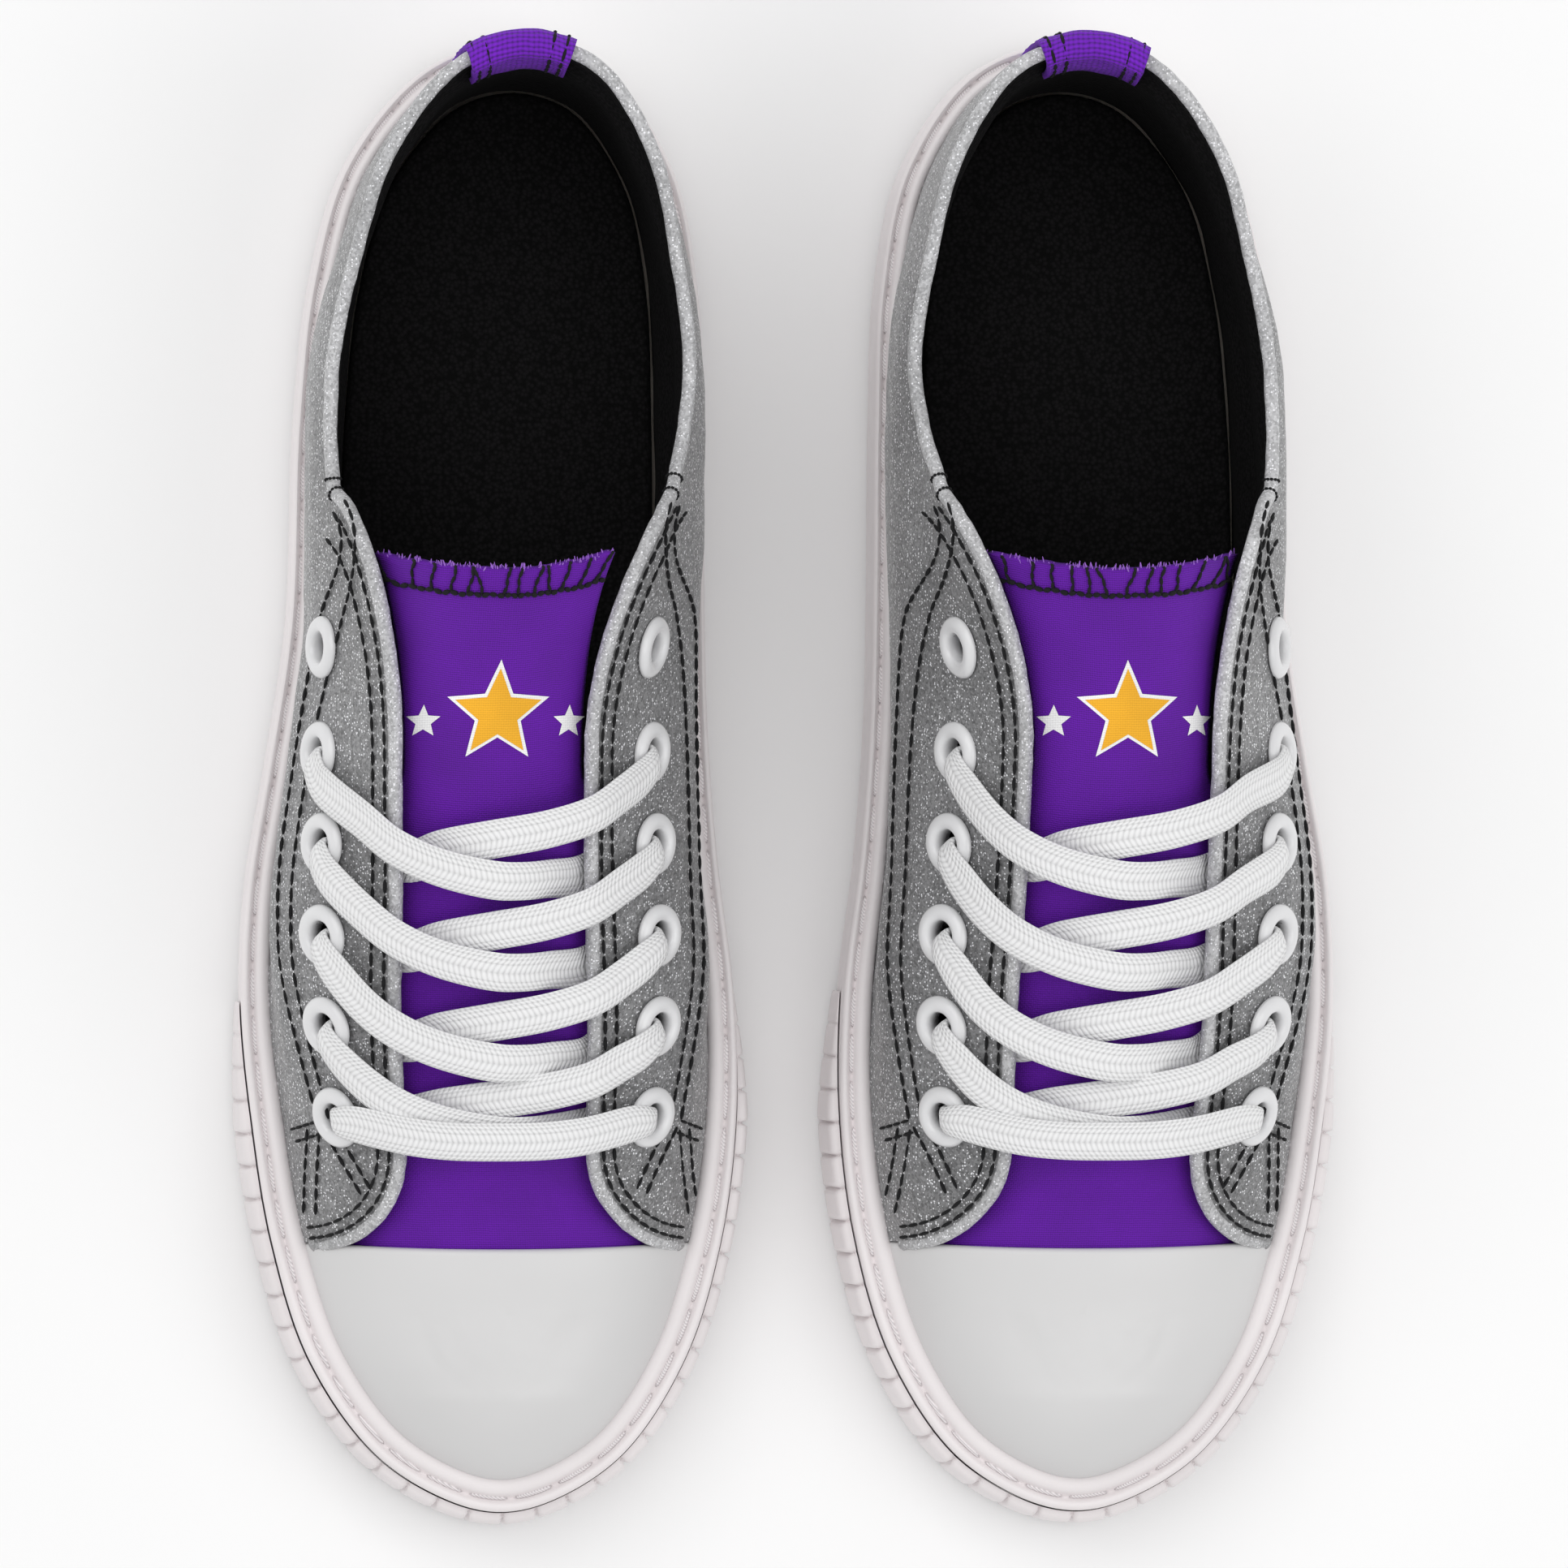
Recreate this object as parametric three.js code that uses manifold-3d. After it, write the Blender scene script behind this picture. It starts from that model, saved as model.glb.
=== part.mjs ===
// A pair of low-top canvas cheer shoes, standing side by side on their soles.
// Millimetres, +Z up, toes towards -Y, heels towards +Y, origin under the middle of the pair.
// One shoe (the wearer's right) is modelled about its own centre; the left one is its mirror image.
import * as THREE from 'three';
import { mergeVertices } from 'three/addons/utils/BufferGeometryUtils.js';
import Module from 'manifold-3d';

const wasm = await Module();
wasm.setup();

// ---- driving sizes ----
const soleLength = 271; // rubber sidewall, heel to toe, without the toe bumper
const soleWidth = 92.4; // across the ball of the foot
const pairGap = 13.3; // between the two shoes

const outsoleThickness = 4;
const midsoleThickness = 7.7;
const sidewallHeight = 24; // top edge above the floor
const toeLand = 3.6; // width of the sidewall's top round the toe
const waistLand = 3.2; // and beside the arch and heel
const bumperThickness = 2.6;
const bumperHeight = 20.5;
const boardThickness = 1.2;
const socklinerThickness = 4;

const capLength = 49.8; // toe cap, from the tip of the sole to its rear edge
const toeRadius = 38; // how far in from the tip the toe's dome has its centre
const heelRadius = 35;
const toeHeight = 43; // heights of the last's ridge above the floor
const capHeight = 47;
const throatHeight = 54.5;
const instepHeight = 91;
const cornerHeight = 99;
const heelCrown = 112;
const backCrown = 125;
const dipHeight = 57; // topline beside the ankle
const backHeight = 72; // topline at the heel
const waistSwell = 3.4; // how far the walls bulge out above the sidewall beside the waist
const heelLean = 4.2; // how far the topline leans back at the heel

const clothThickness = 1.8; // quarters
const capThickness = 2.2;
const vampThickness = 1.2;
const liningThickness = 1;
const counterThickness = 1.2;
const tongueThickness = 2.2;
const stripThickness = 1;
const bindingDiameter = 2.4;

const throatSetback = 16.9; // from the toe cap to the foot of the throat
const throatHalfWidth = 17; // half the gap between the two bound edges
const firstRow = 6.6; // from the foot of the throat to the lowest eyelets
const eyeletRows = 6;
const eyeletPitch = 16.65;
const topRowExtra = 2.6; // the empty top pair sits this much further on
const eyeletOut = 11.3; // from the bound edge out to the eyelets' centres, in plan
const eyeletFlange = 11.6;
const eyeletBore = 5.4;
const eyeletWall = 0.5;
const cornerSetback = 27.8; // from the top eyelets to the corner where the collar begins
const tongueHalfWidth = 23;
const tongueTopHalfWidth = 18.5;
const tongueReach = 15.5; // tongue's top edge beyond the top eyelets
const tongueHinge = 21; // where the free part begins, below the top eyelets
const laceWidth = 7.4;
const laceThickness = 1;
const laceInHole = [3.8, 1.3]; // width and thickness where it is gathered in an eyelet
const stripHalfWidth = 11; // heel strip
const stripFold = 12; // how far the strip reaches down inside

const gap = 0.3; // between flat pieces that touch
const seat = 0.8; // between curved layers, and between the upper's foot and the sidewall

// ---- places that follow from them ----
const toeY = -soleLength / 2;
const heelY = soleLength / 2;
const spineToe = toeY + toeRadius;
const spineHeel = heelY - heelRadius;
const capY = toeY + capLength;
const throatY = capY + throatSetback;
// Row 0 is the top one.
const rowY = (row) => (
  throatY + firstRow + (eyeletRows - 1 - row) * eyeletPitch + (row === 0 ? topRowExtra : 0)
);
const cornerY = rowY(0) + cornerSetback;
const hingeY = rowY(0) - tongueHinge;
const tongueTopY = rowY(0) + tongueReach;
const midsoleBottom = outsoleThickness + gap;
const midsoleTop = midsoleBottom + midsoleThickness;
const featherZ = midsoleTop + gap; // where the upper meets the sole
const counterDepth = clothThickness + seat;
const liningDepth = counterDepth + counterThickness + seat;
const vampDepth = capThickness + seat;
const tongueDepth = clothThickness + 3.1; // below the facings, leaving room for the lace
const insideDepth = Math.max(liningDepth + liningThickness, tongueDepth + vampThickness) + seat;
const boundEdge = throatHalfWidth + bindingDiameter + gap; // quarter's raw edge from the centre line
const lateral = -1;
const medial = 1;

// ---- small helpers ----
const clamp = THREE.MathUtils.clamp;
const smooth = (a, b, x) => THREE.MathUtils.smoothstep(x, a, b);
const lerp = THREE.MathUtils.lerp;
const range = (n) => Array.from({ length: n }, (_, i) => i);

// Value at y on a smooth line through [y, value] pairs.
function along(pairs, y) {
  const last = pairs.length - 1;
  if (y <= pairs[0][0]) return pairs[0][1];
  if (y >= pairs[last][0]) return pairs[last][1];
  const i = pairs.findIndex((pair) => pair[0] > y) - 1;
  const slope = (k) => {
    const a = pairs[Math.max(k - 1, 0)];
    const b = pairs[Math.min(k + 1, last)];
    return (b[1] - a[1]) / (b[0] - a[0]);
  };
  const [y0, v0] = pairs[i];
  const [y1, v1] = pairs[i + 1];
  const h = y1 - y0;
  const s = (y - y0) / h;
  const s2 = s * s;
  const s3 = s2 * s;
  return v0 * (2 * s3 - 3 * s2 + 1) + v1 * (3 * s2 - 2 * s3)
    + slope(i) * h * (s3 - 2 * s2 + s) + slope(i + 1) * h * (s3 - s2);
}

// A closed body from a list of vertices and triangles, with doubled corners merged and faces outwards.
function body(points, triangles) {
  const geometry = new THREE.BufferGeometry().setFromPoints(points);
  geometry.setIndex(triangles);
  const merged = mergeVertices(geometry, 1e-4);
  const index = merged.index.array;
  const kept = [];
  for (let i = 0; i < index.length; i += 3) {
    const [a, b, c] = [index[i], index[i + 1], index[i + 2]];
    if (a !== b && b !== c && c !== a) kept.push(a, b, c);
  }
  const at = (i) => new THREE.Vector3().fromBufferAttribute(merged.attributes.position, i);
  let volume = 0;
  for (let i = 0; i < kept.length; i += 3) volume += at(kept[i]).dot(at(kept[i + 1]).cross(at(kept[i + 2])));
  if (volume < 0) kept.reverse();
  merged.setIndex(kept);
  return merged;
}

// A solid skin between an outer and an inner surface; both are functions of u and v from 0 to 1.
function skin(nu, nv, outer, inner, { zipped = false } = {}) {
  const points = [];
  for (const face of [outer, inner]) {
    for (const i of range(nu + 1)) for (const j of range(nv + 1)) points.push(face(i / nu, j / nv));
  }
  const half = (nu + 1) * (nv + 1);
  const id = (i, j, layer) => layer * half + i * (nv + 1) + j;
  const triangles = [];
  const quad = (a, b, c, d) => triangles.push(a, b, c, a, c, d);
  for (const i of range(nu)) {
    for (const j of range(nv)) {
      quad(id(i, j, 0), id(i + 1, j, 0), id(i + 1, j + 1, 0), id(i, j + 1, 0));
      quad(id(i, j, 1), id(i, j + 1, 1), id(i + 1, j + 1, 1), id(i + 1, j, 1));
    }
    quad(id(i, 0, 1), id(i + 1, 0, 1), id(i + 1, 0, 0), id(i, 0, 0));
    quad(id(i, nv, 0), id(i + 1, nv, 0), id(i + 1, nv, 1), id(i, nv, 1));
  }
  for (const j of range(nv)) {
    quad(id(0, j, 0), id(0, j + 1, 0), id(0, j + 1, 1), id(0, j, 1));
    if (!zipped) quad(id(nu, j, 0), id(nu, j, 1), id(nu, j + 1, 1), id(nu, j + 1, 0));
  }
  return body(points, triangles);
}

// A closed body swept through rings of points; each ring has the same count.
function swept(rings, { closed = false } = {}) {
  const count = rings[0].length;
  const triangles = [];
  const spans = closed ? rings.length : rings.length - 1;
  for (const i of range(spans)) {
    const next = (i + 1) % rings.length;
    for (const j of range(count)) {
      const k = (j + 1) % count;
      const [a, b, c, d] = [i * count + j, next * count + j, next * count + k, i * count + k];
      triangles.push(a, b, c, a, c, d);
    }
  }
  if (!closed) {
    const end = (rings.length - 1) * count;
    for (const j of range(count - 2)) {
      triangles.push(0, j + 1, j + 2);
      triangles.push(end, end + j + 2, end + j + 1);
    }
  }
  return body(rings.flat(), triangles);
}

// ---- the sole's outline ----
// Shares of half the width and half the length, from the heel round the outer side to the toe and back.
const outlineShape = [
  [0.1, 1], [-0.25, 0.967], [-0.575, 0.84], [-0.72, 0.68], [-0.785, 0.48], [-0.815, 0.21],
  [-0.9, 0.015], [-0.98, -0.15], [-1, -0.31], [-0.955, -0.48], [-0.877, -0.637], [-0.73, -0.793],
  [-0.465, -0.922], [-0.17, -0.985], [0.03, -1], [0.233, -0.985], [0.518, -0.922], [0.767, -0.793],
  [0.909, -0.637], [0.973, -0.467], [0.964, -0.296], [0.898, -0.11], [0.858, 0.074], [0.846, 0.26],
  [0.84, 0.48], [0.818, 0.667], [0.715, 0.83], [0.444, 0.96],
];
const outline = new THREE.CatmullRomCurve3(
  outlineShape.map(([x, y]) => new THREE.Vector3((x * soleWidth) / 2, (y * soleLength) / 2, 0)),
  true,
  'centripetal',
);

// Width of the sidewall's top at a place along the shoe.
const landAt = (y) => lerp(toeLand, waistLand, smooth(capY, capY + 100, y));

// A point of the outline, moved inwards by a distance.
function outlinePoint(u, inwards, z) {
  const p = outline.getPoint(u);
  const t = outline.getTangent(u);
  const amount = typeof inwards === 'function' ? inwards(p.y) : inwards;
  return new THREE.Vector3(p.x - t.y * amount, p.y + t.x * amount, z);
}

const featherOutline = range(280).map((i) => outlinePoint(i / 280, (y) => landAt(y) + seat, 0));

// Where a ray from a point of the centre line meets the feather outline.
function featherHit(from, direction) {
  let best = null;
  featherOutline.forEach((a, i) => {
    const b = featherOutline[(i + 1) % featherOutline.length];
    const [ex, ey] = [b.x - a.x, b.y - a.y];
    const det = direction.x * ey - direction.y * ex;
    if (Math.abs(det) < 1e-9) return;
    const reach = ((a.x - from.x) * ey - (a.y - from.y) * ex) / det;
    const share = ((a.x - from.x) * direction.y - (a.y - from.y) * direction.x) / det;
    if (reach > 0 && share >= 0 && share <= 1 && (best === null || reach < best)) best = reach;
  });
  return best;
}

// ---- the last ----
const ridgeX = [[spineToe, 1.2], [capY, 0.4], [throatY, -0.8], [rowY(1), -2.6], [rowY(0), -2],
  [cornerY, 0], [spineHeel, 2.2]];
const ridgeHeights = [[spineToe - 8, toeHeight], [spineToe, toeHeight], [capY, capHeight],
  [throatY, throatHeight],
  [rowY(0), instepHeight], [cornerY, cornerHeight], [spineHeel, heelCrown]];
const roundness = [[spineToe, 2.35], [capY, 2.3], [throatY, 2.1], [rowY(2), 2], [rowY(0), 2.2],
  [cornerY, 3], [spineHeel, 3]];
const backRoundness = 3.2;

// A station runs along the centre line by y; below the toe end and beyond the heel end it is an angle
// in degrees, from 0 square to the shoe to 90 straight ahead: {fan: 'toe' | 'heel' | null, y, angle}.
const at = (y) => ({ fan: null, y, angle: 0 });
const toeFan = (angle) => ({ fan: 'toe', y: spineToe, angle });
const heelFan = (angle) => ({ fan: 'heel', y: spineHeel, angle });

const stationCache = new Map();
function meridian(side, station) {
  const key = `${side} ${station.fan} ${station.y} ${station.angle}`;
  if (stationCache.has(key)) return stationCache.get(key);
  const a = THREE.MathUtils.degToRad(station.angle);
  const ahead = station.fan === 'toe' ? -Math.sin(a) : Math.sin(a);
  const direction = new THREE.Vector2(side * Math.cos(a), ahead);
  const spine = new THREE.Vector2(along(ridgeX, station.y), station.y);
  const turn = station.fan === 'heel' ? station.angle / 90 : 0;
  const made = {
    spine,
    direction,
    reach: featherHit(spine, direction),
    crown: lerp(along(ridgeHeights, station.y), backCrown, turn),
    power: lerp(along(roundness, station.y), backRoundness, turn),
  };
  stationCache.set(key, made);
  return made;
}

// The walls' bulge and lean, as a smooth shift of the room round the last.
function shaped(p) {
  const low = smooth(sidewallHeight + seat, sidewallHeight + 14, p.z);
  const height = low * (1 - smooth(dipHeight - 10, dipHeight + 12, p.z));
  const waist = smooth(throatY, throatY + 40, p.y) * (1 - smooth(cornerY + 20, spineHeel + 15, p.y));
  const across = clamp((p.x - along(ridgeX, p.y)) / heelRadius, -1, 1);
  const climb = clamp((p.z - sidewallHeight) / (backHeight - sidewallHeight), 0, 1.2);
  const lean = climb * smooth(cornerY, heelY, p.y);
  return p.add(new THREE.Vector3(waistSwell * height * waist * across, heelLean * lean, 0));
}

// A point of the upper: theta is 0 at the sole and 90 degrees at the ridge; depth goes inwards.
function upper(side, station, theta, depth) {
  const m = meridian(side, station);
  const out = (m.reach - depth) * Math.max(Math.cos(theta), 0) ** (2 / m.power);
  const up = (m.crown - depth - featherZ) * Math.max(Math.sin(theta), 0) ** (2 / m.power);
  const [x, y] = [m.spine.x + m.direction.x * out, m.spine.y + m.direction.y * out];
  return shaped(new THREE.Vector3(x, y, featherZ + up));
}
function thetaAtX(side, station, x, depth = 0) {
  const m = meridian(side, station);
  return Math.acos(clamp(x / (m.reach - depth), 0, 1) ** (m.power / 2));
}
function thetaAtZ(side, station, z, depth = 0) {
  const m = meridian(side, station);
  return Math.asin(clamp((z - featherZ) / (m.crown - depth - featherZ), 0, 1) ** (m.power / 2));
}
function upperNormal(side, station, theta) {
  const e = 0.01;
  const step = { ...station, y: station.y + 0.5 };
  const du = upper(side, step, theta, 0).sub(upper(side, { ...station, y: station.y - 0.5 }, theta, 0));
  const dv = upper(side, station, theta + e, 0).sub(upper(side, station, theta - e, 0));
  const n = du.cross(dv).normalize();
  return n.x * side < 0 ? n.negate() : n;
}
// A point on the wall at a height, moved inwards in plan.
function wall(side, station, z, depth) {
  const m = meridian(side, station);
  const out = m.reach * Math.cos(thetaAtZ(side, station, z)) ** (2 / m.power) - depth;
  return shaped(new THREE.Vector3(m.spine.x + m.direction.x * out, m.spine.y + m.direction.y * out, z));
}

// ---- the quarters' upper edge ----
// Half-distance of the raw edge from the centre line, in front of the corner.
const cornerOut = 30.8;
function edgeOut(y) {
  const footRound = clamp((throatY - y) / throatSetback, 0, 1);
  const foot = (1 - Math.sqrt(1 - footRound * footRound)) * 17;
  const flare = clamp((y - rowY(1)) / (cornerY - rowY(1)), 0, 1) ** 2 * (cornerOut - boundEdge);
  return boundEdge + foot + flare;
}
// Angle of the edge at a station.
function edgeTheta(side, station) {
  if (!station.fan && station.y < cornerY) return thetaAtX(side, station, edgeOut(station.y));
  const corner = at(cornerY - 1e-6);
  const cornerZ = upper(side, corner, thetaAtX(side, corner, edgeOut(corner.y)), 0).z;
  const baseY = upper(side, station, 0, 0).y;
  const dip = smooth(cornerY - 12, lerp(cornerY, spineHeel, 0.55), baseY);
  const back = smooth(lerp(cornerY, spineHeel, 0.4), heelY - landAt(heelY), baseY);
  const z = lerp(lerp(cornerZ, dipHeight, dip), backHeight, back);
  return thetaAtZ(side, station, lerp(cornerZ, z, smooth(cornerY - 4, cornerY + 10, baseY)));
}

const spaced = (from, to, n) => range(n + 1).map((i) => at(lerp(from, to, i / n)));
const toeFans = (n) => range(n).map((i) => toeFan((90 * (i + 1)) / n));
const heelFans = (n, last = 90) => range(n).map((i) => heelFan((last * (i + 1)) / n));

// The quarters' own stations, close together where the edge rounds off at its foot.
const quarterFront = capY + gap / 2;
const footRounds = [0, 1.2, 4, 8, 12.5].map((step) => at(quarterFront + (step / 18) * throatSetback));
const quarterStations = [...footRounds, ...spaced(throatY, rowY(1), 5),
  ...spaced(rowY(1), cornerY, 5).slice(1), ...spaced(cornerY, spineHeel, 4).slice(1)];
const heelGapAngle = 90 - THREE.MathUtils.radToDeg(gap / (heelRadius - waistLand));

// ---- booleans ----
function toSolid(geometry) {
  const plain = new THREE.BufferGeometry();
  plain.setAttribute('position', geometry.getAttribute('position').clone());
  plain.setIndex(geometry.index ? [...geometry.index.array] : null);
  const merged = mergeVertices(plain, 1e-4);
  return new wasm.Manifold(new wasm.Mesh({
    numProp: 3,
    vertProperties: merged.attributes.position.array,
    triVerts: new Uint32Array(merged.index.array),
  }));
}
function fromSolid(solid) {
  const mesh = solid.getMesh();
  const geometry = new THREE.BufferGeometry();
  geometry.setAttribute('position', new THREE.BufferAttribute(mesh.vertProperties, 3));
  geometry.setIndex([...mesh.triVerts]);
  return geometry;
}
function drilled(geometry, drills) {
  return fromSolid(drills.reduce((solid, drill) => solid.subtract(toSolid(drill)), toSolid(geometry)));
}

// ---- sole ----
const outlineSteps = 46;
const edgeSteps = 4 * outlineSteps;
const insetShare = 0.98; // how much of its inset a plate's point keeps to every part of the edge
function plate(inwards, bottom, top) {
  const edge = range(edgeSteps).map((i) => outlinePoint(i / edgeSteps, 0, 0));
  // Where the toe bends too tightly for the inset, the points that would cross over come out
  // nearer to the edge than their inset, and are left out.
  const inside = range(outlineSteps).map((i) => i / outlineSteps).filter((u) => {
    const p = outlinePoint(u, inwards, 0);
    const inset = p.distanceTo(outlinePoint(u, 0, 0));
    return edge.every((q) => q.distanceTo(p) > inset * insetShare);
  });
  const shape = new THREE.Shape(inside.map((u) => {
    const { x, y } = outlinePoint(u, inwards, 0);
    return new THREE.Vector2(x, y);
  }));
  const geometry = new THREE.ExtrudeGeometry(shape, { depth: top - bottom, bevelEnabled: false });
  return geometry.translate(0, 0, bottom);
}
const insideInset = (y) => landAt(y) + seat + insideDepth;

// Cup-shaped sidewall: a rounded inner lip, the thread groove and a thin outer lip.
function sidewall() {
  const top = sidewallHeight;
  const section = [[0, midsoleBottom], [0, top - 0.8], [0.28, top - 0.3], [0.42, top - 1.6],
    [0.58, top + 0.2], [1, top - 0.5], [1, midsoleBottom]];
  const rings = range(outlineSteps).map((i) => section.map(([share, z]) => (
    outlinePoint(i / outlineSteps, (y) => share * landAt(y), z)
  )));
  return swept(rings, { closed: true });
}

// Ribbed strip round the toe, thinning out at both ends and wider at its foot.
const bumperSpan = [0.285, 0.715]; // shares of the way round the outline
function toeBumper() {
  const steps = 26;
  const rings = range(steps + 1).map((i) => {
    const u = lerp(bumperSpan[0], bumperSpan[1], i / steps);
    const taper = Math.min(1, 0.25 + 5 * Math.min(i, steps - i) / steps);
    const thick = bumperThickness * taper;
    return [
      outlinePoint(u, -gap, 1),
      outlinePoint(u, -gap - thick, 1),
      outlinePoint(u, -gap - thick * 0.8, bumperHeight - 1),
      outlinePoint(u, -gap - thick * 0.5, bumperHeight),
      outlinePoint(u, -gap, bumperHeight),
    ];
  });
  return swept(rings);
}

// ---- upper ----
// A skin that crosses the ridge from one side to the other.
function crossing(stations, nv, thetaFoot, depthOut, depthIn, options) {
  const nu = stations.length - 1;
  const point = (u, v, depthAt) => {
    const station = stations[Math.round(u * nu)];
    const depth = depthAt(station.y);
    const q = 2 * v - 1;
    const side = q < 0 ? lateral : medial;
    return upper(side, station, lerp(Math.PI / 2, thetaFoot(side, station, depth), Math.abs(q)), depth);
  };
  return skin(nu, nv, (u, v) => point(u, v, depthOut), (u, v) => point(u, v, depthIn), options);
}
function toeCap() {
  const stations = [...spaced(capY - gap / 2, spineToe, 2), ...toeFans(6)];
  return crossing(stations, 14, () => 0, () => 0, () => capThickness, { zipped: true });
}
function vamp() {
  // It dips from under the toe cap to the tongue's level, so that the lace passes over it.
  const depth = (y) => lerp(vampDepth, tongueDepth, smooth(capY - 2, throatY - 6, y));
  return crossing(spaced(capY - 12, throatY - gap, 5), 14, () => 0, depth, (y) => depth(y) + vampThickness);
}
function tongueBase() {
  const foot = (side, station, depth) => thetaAtX(side, station, tongueHalfWidth, depth);
  const under = () => tongueDepth + tongueThickness;
  return crossing(spaced(throatY, hingeY - gap, 6), 8, foot, () => tongueDepth, under);
}
function tongueTop() {
  const half = (y) => lerp(throatHalfWidth - 3.2, tongueTopHalfWidth, smooth(hingeY, tongueTopY, y));
  const foot = (side, station, depth) => thetaAtX(side, station, half(station.y), depth);
  const stations = spaced(hingeY + gap, tongueTopY, 5);
  return crossing(stations, 8, foot, () => tongueDepth, () => tongueDepth + tongueThickness);
}

function eyeletSpot(side, row) {
  const station = at(rowY(row));
  const theta = thetaAtX(side, station, throatHalfWidth + eyeletOut);
  const centre = upper(side, station, theta, 0);
  return { station, theta, centre, normal: upperNormal(side, station, theta) };
}
function lookAlong(normal) {
  return new THREE.Quaternion().setFromUnitVectors(new THREE.Vector3(0, 1, 0), normal);
}
function quarter(side) {
  const stations = [...quarterStations, ...heelFans(7, heelGapAngle)];
  const last = stations.length - 1;
  const place = (u, v, depth) => {
    const station = stations[Math.round(u * last)];
    return upper(side, station, edgeTheta(side, station) * v, depth);
  };
  const shell = skin(last, 9, (u, v) => place(u, v, 0), (u, v) => place(u, v, clothThickness));
  const drills = range(eyeletRows).map((row) => {
    const { centre, normal } = eyeletSpot(side, row);
    const radius = eyeletBore / 2 + eyeletWall + gap;
    const drill = new THREE.CylinderGeometry(radius, radius, 12, 10);
    drill.deleteAttribute('normal');
    drill.deleteAttribute('uv');
    return drill.applyQuaternion(lookAlong(normal)).translate(...centre);
  });
  return drilled(shell, drills);
}

// Domed white eyelet with its barrel through the quarter.
function eyelet(side, row) {
  const { centre, normal } = eyeletSpot(side, row);
  const bore = eyeletBore / 2;
  const flange = eyeletFlange / 2;
  const foot = -clothThickness - 0.5;
  const profile = [[bore, foot], [bore + eyeletWall, foot], [bore + eyeletWall, 0.5], [flange, 0.5],
    [bore, 1.3], [bore, foot]];
  const ring = new THREE.LatheGeometry(profile.map(([r, z]) => new THREE.Vector2(r, z)), 9);
  ring.applyQuaternion(lookAlong(normal)).translate(...centre);
  return body(range(ring.attributes.position.count).map((i) => (
    new THREE.Vector3().fromBufferAttribute(ring.attributes.position, i)
  )), [...ring.index.array]);
}

// Both sides and round the heel in one skin, from the outer side's front to the inner side's front.
function roundHeel(startY, n, depthOut, depthIn, top, nv) {
  const stations = [...spaced(startY, spineHeel, n), ...heelFans(6)];
  const last = stations.length - 1;
  const place = (u, v, depth) => {
    const side = u < 0.5 ? lateral : medial;
    const station = stations[Math.round((1 - Math.abs(2 * u - 1)) * last)];
    return upper(side, station, top(side, station, depth) * v, depth);
  };
  return skin(2 * last, nv, (u, v) => place(u, v, depthOut), (u, v) => place(u, v, depthIn));
}
const counterStart = lerp(cornerY, spineHeel, 0.35);
const counterHeight = 46;
function heelCounter() {
  const top = (side, station, depth) => thetaAtZ(side, station, counterHeight, depth);
  return roundHeel(counterStart, 3, counterDepth, counterDepth + counterThickness, top, 5);
}
const liningSideHeight = 36;
function lining() {
  const top = (side, station, depth) => {
    const edge = upper(side, station, edgeTheta(side, station), 0).z - 1.5;
    const behind = station.fan ? 1 : smooth(rowY(0) + 8, cornerY + 6, station.y);
    return thetaAtZ(side, station, lerp(liningSideHeight, edge, behind), depth);
  };
  return roundHeel(rowY(5), 11, liningDepth, liningDepth + liningThickness, top, 6);
}

// Bound edge: up one side of the throat, round the collar and down the other side.
function edgeBinding() {
  const stations = [at(quarterFront + bindingDiameter), ...quarterStations.slice(2), ...heelFans(7)];
  const last = stations.length - 1;
  const edge = (side, station, back = 0) => (
    upper(side, station, edgeTheta(side, station) - back, clothThickness / 2)
  );
  const stops = range(2 * last + 1).map((i) => ({
    side: i < last ? lateral : medial,
    station: stations[last - Math.abs(i - last)],
  }));
  const points = stops.map(({ side, station }) => edge(side, station));
  const rings = stops.map(({ side, station }, i) => {
    const before = points[Math.max(i - 1, 0)];
    const after = points[Math.min(i + 1, points.length - 1)];
    const tangent = after.clone().sub(before).normalize();
    const away = points[i].clone().sub(edge(side, station, 0.02));
    away.addScaledVector(tangent, -away.dot(tangent)).normalize();
    const across = tangent.clone().cross(away);
    const centre = points[i].clone().addScaledVector(away, bindingDiameter / 2 + seat / 2);
    return range(6).map((k) => {
      const a = (k * Math.PI) / 3;
      return centre.clone()
        .addScaledVector(away, (Math.cos(a) * bindingDiameter) / 2)
        .addScaledVector(across, (Math.sin(a) * bindingDiameter) / 2);
    });
  });
  return swept(rings);
}

// Woven strip up the back of the heel, folded over the binding and down inside.
function heelStrip() {
  const foot = sidewallHeight + 1.2;
  const over = backHeight + bindingDiameter + 2 * seat;
  const inner = insideDepth;
  const outer = seat + stripThickness;
  const section = [[-outer, foot], [-outer, over - 2], [-outer + 1.4, over + stripThickness],
    [inner - 0.6, over + stripThickness], [inner + stripThickness, over - 2],
    [inner + stripThickness, backHeight - stripFold], [inner, backHeight - stripFold], [inner, over - 2],
    [inner - 1.2, over], [-outer + 2, over], [-seat, over - 2], [-seat, foot]];
  const steps = 6;
  const half = THREE.MathUtils.radToDeg(stripHalfWidth / (heelRadius - waistLand));
  const rings = range(steps + 1).map((i) => {
    const turn = lerp(-half, half, i / steps);
    const side = turn < 0 ? lateral : medial;
    return section.map(([depth, z]) => wall(side, heelFan(90 - Math.abs(turn)), z, depth));
  });
  return stripSolid(rings, section.length / 2);
}
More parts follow.
